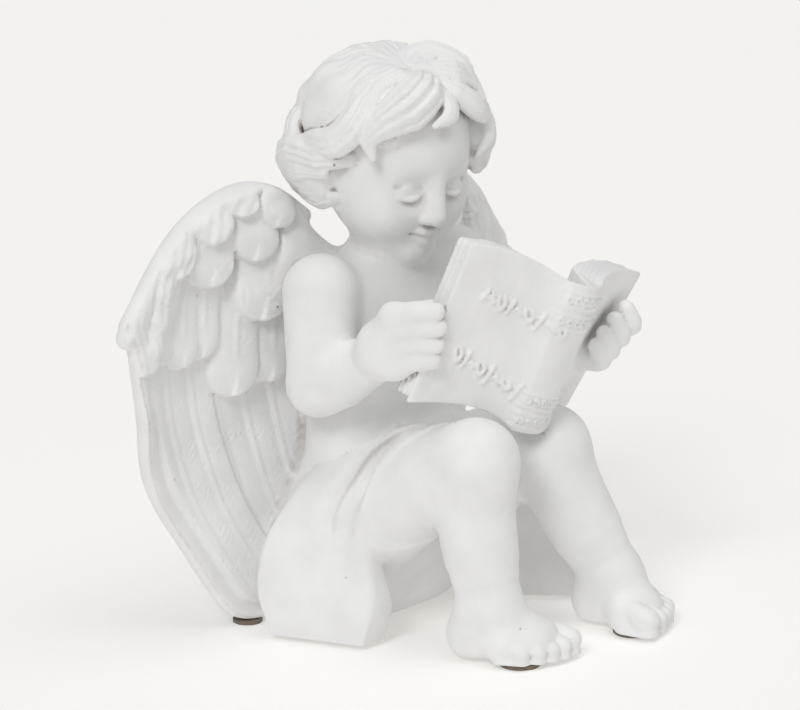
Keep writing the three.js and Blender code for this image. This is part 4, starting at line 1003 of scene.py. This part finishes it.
def casting_material():
    material, tree, shader = node_tree("cast_white")
    add, link = tree.nodes.new, tree.links.new
    where = add("ShaderNodeTexCoord").outputs["Object"]

    def noise(scale, detail, rough=0.5):
        node = add("ShaderNodeTexNoise")
        node.inputs["Scale"].default_value = scale
        node.inputs["Detail"].default_value = detail
        node.inputs["Roughness"].default_value = rough
        link(where, node.inputs["Vector"])
        return node.outputs["Fac"]

    tone = add("ShaderNodeValToRGB")
    tone.color_ramp.elements[0].position, tone.color_ramp.elements[0].color = 0.3, (0.82, 0.82, 0.82, 1)
    tone.color_ramp.elements[1].position, tone.color_ramp.elements[1].color = 0.7, (0.89, 0.89, 0.885, 1)
    link(noise(60, 4), tone.inputs["Fac"])
    # Air bubbles broke the surface here and there, and dust has darkened them.
    bubbles = add("ShaderNodeTexVoronoi")
    bubbles.inputs["Scale"].default_value = 75
    link(where, bubbles.inputs["Vector"])
    pit = add("ShaderNodeMapRange")
    pit.inputs["From Min"].default_value, pit.inputs["From Max"].default_value = 0.05, 0.025
    link(bubbles.outputs["Distance"], pit.inputs["Value"])
    rare = add("ShaderNodeMath")
    rare.operation = "GREATER_THAN"
    rare.inputs[1].default_value = 0.62
    link(bubbles.outputs["Color"], rare.inputs[0])
    pits = add("ShaderNodeMath")
    pits.operation = "MULTIPLY"
    link(pit.outputs["Result"], pits.inputs[0])
    link(rare.outputs["Value"], pits.inputs[1])
    dark = add("ShaderNodeMix")
    dark.data_type = "RGBA"
    dark.inputs["B"].default_value = (0.33, 0.31, 0.28, 1)
    link(pits.outputs["Value"], dark.inputs["Factor"])
    link(tone.outputs["Color"], dark.inputs["A"])
    # Painted shade: the crevices are darkened towards brown in the colour, by how closed in each point is.
    crevice_shade = add("ShaderNodeAttribute")
    crevice_shade.attribute_name = "crevice_shade"
    shade_depth = add("ShaderNodeMapRange")
    shade_depth.inputs["From Min"].default_value, shade_depth.inputs["From Max"].default_value = 0.3, 0.85
    shade_depth.inputs["To Max"].default_value = 0.85
    link(crevice_shade.outputs["Fac"], shade_depth.inputs["Value"])
    painted_shade = add("ShaderNodeMix")
    painted_shade.data_type = "RGBA"
    painted_shade.inputs["B"].default_value = (0.40, 0.36, 0.31, 1)
    link(shade_depth.outputs["Result"], painted_shade.inputs["Factor"])
    link(dark.outputs["Result"], painted_shade.inputs["A"])
    link(painted_shade.outputs["Result"], shader.inputs["Base Color"])
    shader.inputs["Roughness"].default_value = 0.62
    shader.inputs["Specular IOR Level"].default_value = 0.3
    # Fine brush and sanding marks.
    bump = add("ShaderNodeBump")
    bump.inputs["Strength"].default_value = 0.25
    bump.inputs["Distance"].default_value = 0.0006
    link(noise(420, 5, 0.6), bump.inputs["Height"])
    link(bump.outputs["Normal"], shader.inputs["Normal"])
    return material


# A felt's fibres are told apart by fine noise in two browns.
def felt_material():
    material, tree, shader = node_tree("brown_felt")
    add, link = tree.nodes.new, tree.links.new
    fibre = add("ShaderNodeTexNoise")
    fibre.inputs["Scale"].default_value = 1400
    fibre.inputs["Detail"].default_value = 4
    link(add("ShaderNodeTexCoord").outputs["Object"], fibre.inputs["Vector"])
    tone = add("ShaderNodeValToRGB")
    tone.color_ramp.elements[0].color = (0.10, 0.075, 0.055, 1)
    tone.color_ramp.elements[1].color = (0.30, 0.25, 0.20, 1)
    link(fibre.outputs["Fac"], tone.inputs["Fac"])
    link(tone.outputs["Color"], shader.inputs["Base Color"])
    bump = add("ShaderNodeBump")
    bump.inputs["Distance"].default_value = 0.0004
    link(fibre.outputs["Fac"], bump.inputs["Height"])
    link(bump.outputs["Normal"], shader.inputs["Normal"])
    shader.inputs["Roughness"].default_value = 0.95
    return material


white, felt = casting_material(), felt_material()
points, faces, field, origin = skin(figure(), CELL)
figure_mesh = thinned(mesh_of("angel_skin", points, faces), FACES)
# Painted shade in the hollows, marked on each point from how closed in it is.
paint_crevice_shade(figure_mesh, field, origin, CELL)
piece("angel_figure", figure_mesh, white, "angel_casting")


def felt_pad(name, node):
    """A disc cut from felt, its edge a little rounded and uneven, pressed against the casting above it."""
    low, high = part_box(node)
    middle, radius, thick = (low + high) / 2, (high.x - low.x) / 2, high.z - low.z
    levels = [(0.0, 0.965), (0.15, 0.995), (0.5, 1.0), (0.85, 0.99), (1.0, 0.96)]
    sides = 72
    points = [[middle.x, middle.y, low.z]]
    for height, share in levels:
        for k in range(sides):
            turn = 2 * math.pi * k / sides
            r = radius * share * (1 - 0.012 * (1 + math.sin(5 * turn + 9 * height)))
            x, y = middle.x + r * math.cos(turn), middle.y + r * math.sin(turn)
            points.append([x, y, low.z + thick * height])
    points.append([middle.x, middle.y, high.z])
    faces = []
    for k in range(sides):
        n = (k + 1) % sides
        faces.append([0, 1 + n, 1 + k])
        for level in range(len(levels) - 1):
            a, b = 1 + level * sides, 1 + (level + 1) * sides
            faces += [[a + k, a + n, b + n], [a + k, b + n, b + k]]
        top = 1 + (len(levels) - 1) * sides
        faces.append([top + k, top + n, len(points) - 1])
    return piece(name, mesh_of(name, np.array(points), np.array(faces)), felt, node)


for place in ("right_foot", "left_foot", "right_wing", "left_wing"):
    felt_pad("felt_" + place, "pad_" + place)


# A pale floor that reaches past everything the camera sees.
def studio():
    reach = 9.0
    corners = reach * np.array([[-1, -1, 0], [1, -1, 0], [1, 1, 0], [-1, 1, 0]])
    mesh = mesh_of("studio_floor", corners, np.array([[0, 1, 2, 3]]))
    floor = bpy.data.objects.new("studio_floor", mesh)
    bpy.context.scene.collection.objects.link(floor)
    material, tree, shader = node_tree("pale_floor")
    shader.inputs["Base Color"].default_value = (0.74, 0.733, 0.714, 1)
    shader.inputs["Emission Color"].default_value = (0.896, 0.887, 0.855, 1)
    shader.inputs["Emission Strength"].default_value = 0.32
    shader.inputs["Roughness"].default_value = 0.9
    shader.inputs["Specular IOR Level"].default_value = 0.1
    mesh.materials.append(material)


studio()

# The camera stands in front and to the figure's right, a little above it. All its places are in metres.
CAMERA_AZIMUTH, CAMERA_ELEVATION, CAMERA_AWAY = -50.0, 13.0, 1.3
FOCAL_PIXELS, IMAGE_WIDE, IMAGE_TALL = 3237.0, 800, 710
ORIGIN_AT = (400, 610)  # where the drawn origin lies in the picture
SENSOR = 36.0


def look():
    a, e = math.radians(CAMERA_AZIMUTH), math.radians(CAMERA_ELEVATION)
    back = Vector((math.sin(a) * math.cos(e), -math.cos(a) * math.cos(e), math.sin(e)))
    right = Vector((math.cos(a), math.sin(a), 0))
    up = back.cross(right)
    aside = (ORIGIN_AT[0] - IMAGE_WIDE / 2) / FOCAL_PIXELS * CAMERA_AWAY
    above = (IMAGE_TALL / 2 - ORIGIN_AT[1]) / FOCAL_PIXELS * CAMERA_AWAY
    place = Vector(SHIFT * MM) + back * CAMERA_AWAY - right * aside - up * above
    camera = bpy.data.cameras.new("camera")
    camera.sensor_width = SENSOR
    camera.lens = FOCAL_PIXELS / IMAGE_WIDE * SENSOR
    obj = bpy.data.objects.new("camera", camera)
    bpy.context.scene.collection.objects.link(obj)
    obj.matrix_world = Matrix((
        (right.x, up.x, back.x, place.x),
        (right.y, up.y, back.y, place.y),
        (right.z, up.z, back.z, place.z),
        (0, 0, 0, 1),
    ))
    bpy.context.scene.camera = obj
    return right, up, back


right, up, back = look()


def broad_light(name, comes_from, spread, strength):
    """Even light from one side, as through a wide diffuser."""
    light = bpy.data.lights.new(name, "SUN")
    light.energy, light.angle = strength, math.radians(spread)
    obj = bpy.data.objects.new(name, light)
    bpy.context.scene.collection.objects.link(obj)
    obj.rotation_euler = comes_from.to_track_quat("Z", "Y").to_euler()


skyward = Vector((0, 0, 1))
broad_light("key_light", back + skyward * 0.6 - right * 0.4, 20, 1.0)
broad_light("top_light", skyward + right * 0.25 + back * 0.15, 50, 0.95)
world = bpy.data.worlds.new("studio")
bpy.context.scene.world = world
world.use_nodes = True
world.node_tree.nodes["Background"].inputs["Color"].default_value = (1.0, 1.0, 0.995, 1)
world.node_tree.nodes["Background"].inputs["Strength"].default_value = 0.34
bpy.context.scene.view_settings.view_transform = "Standard"
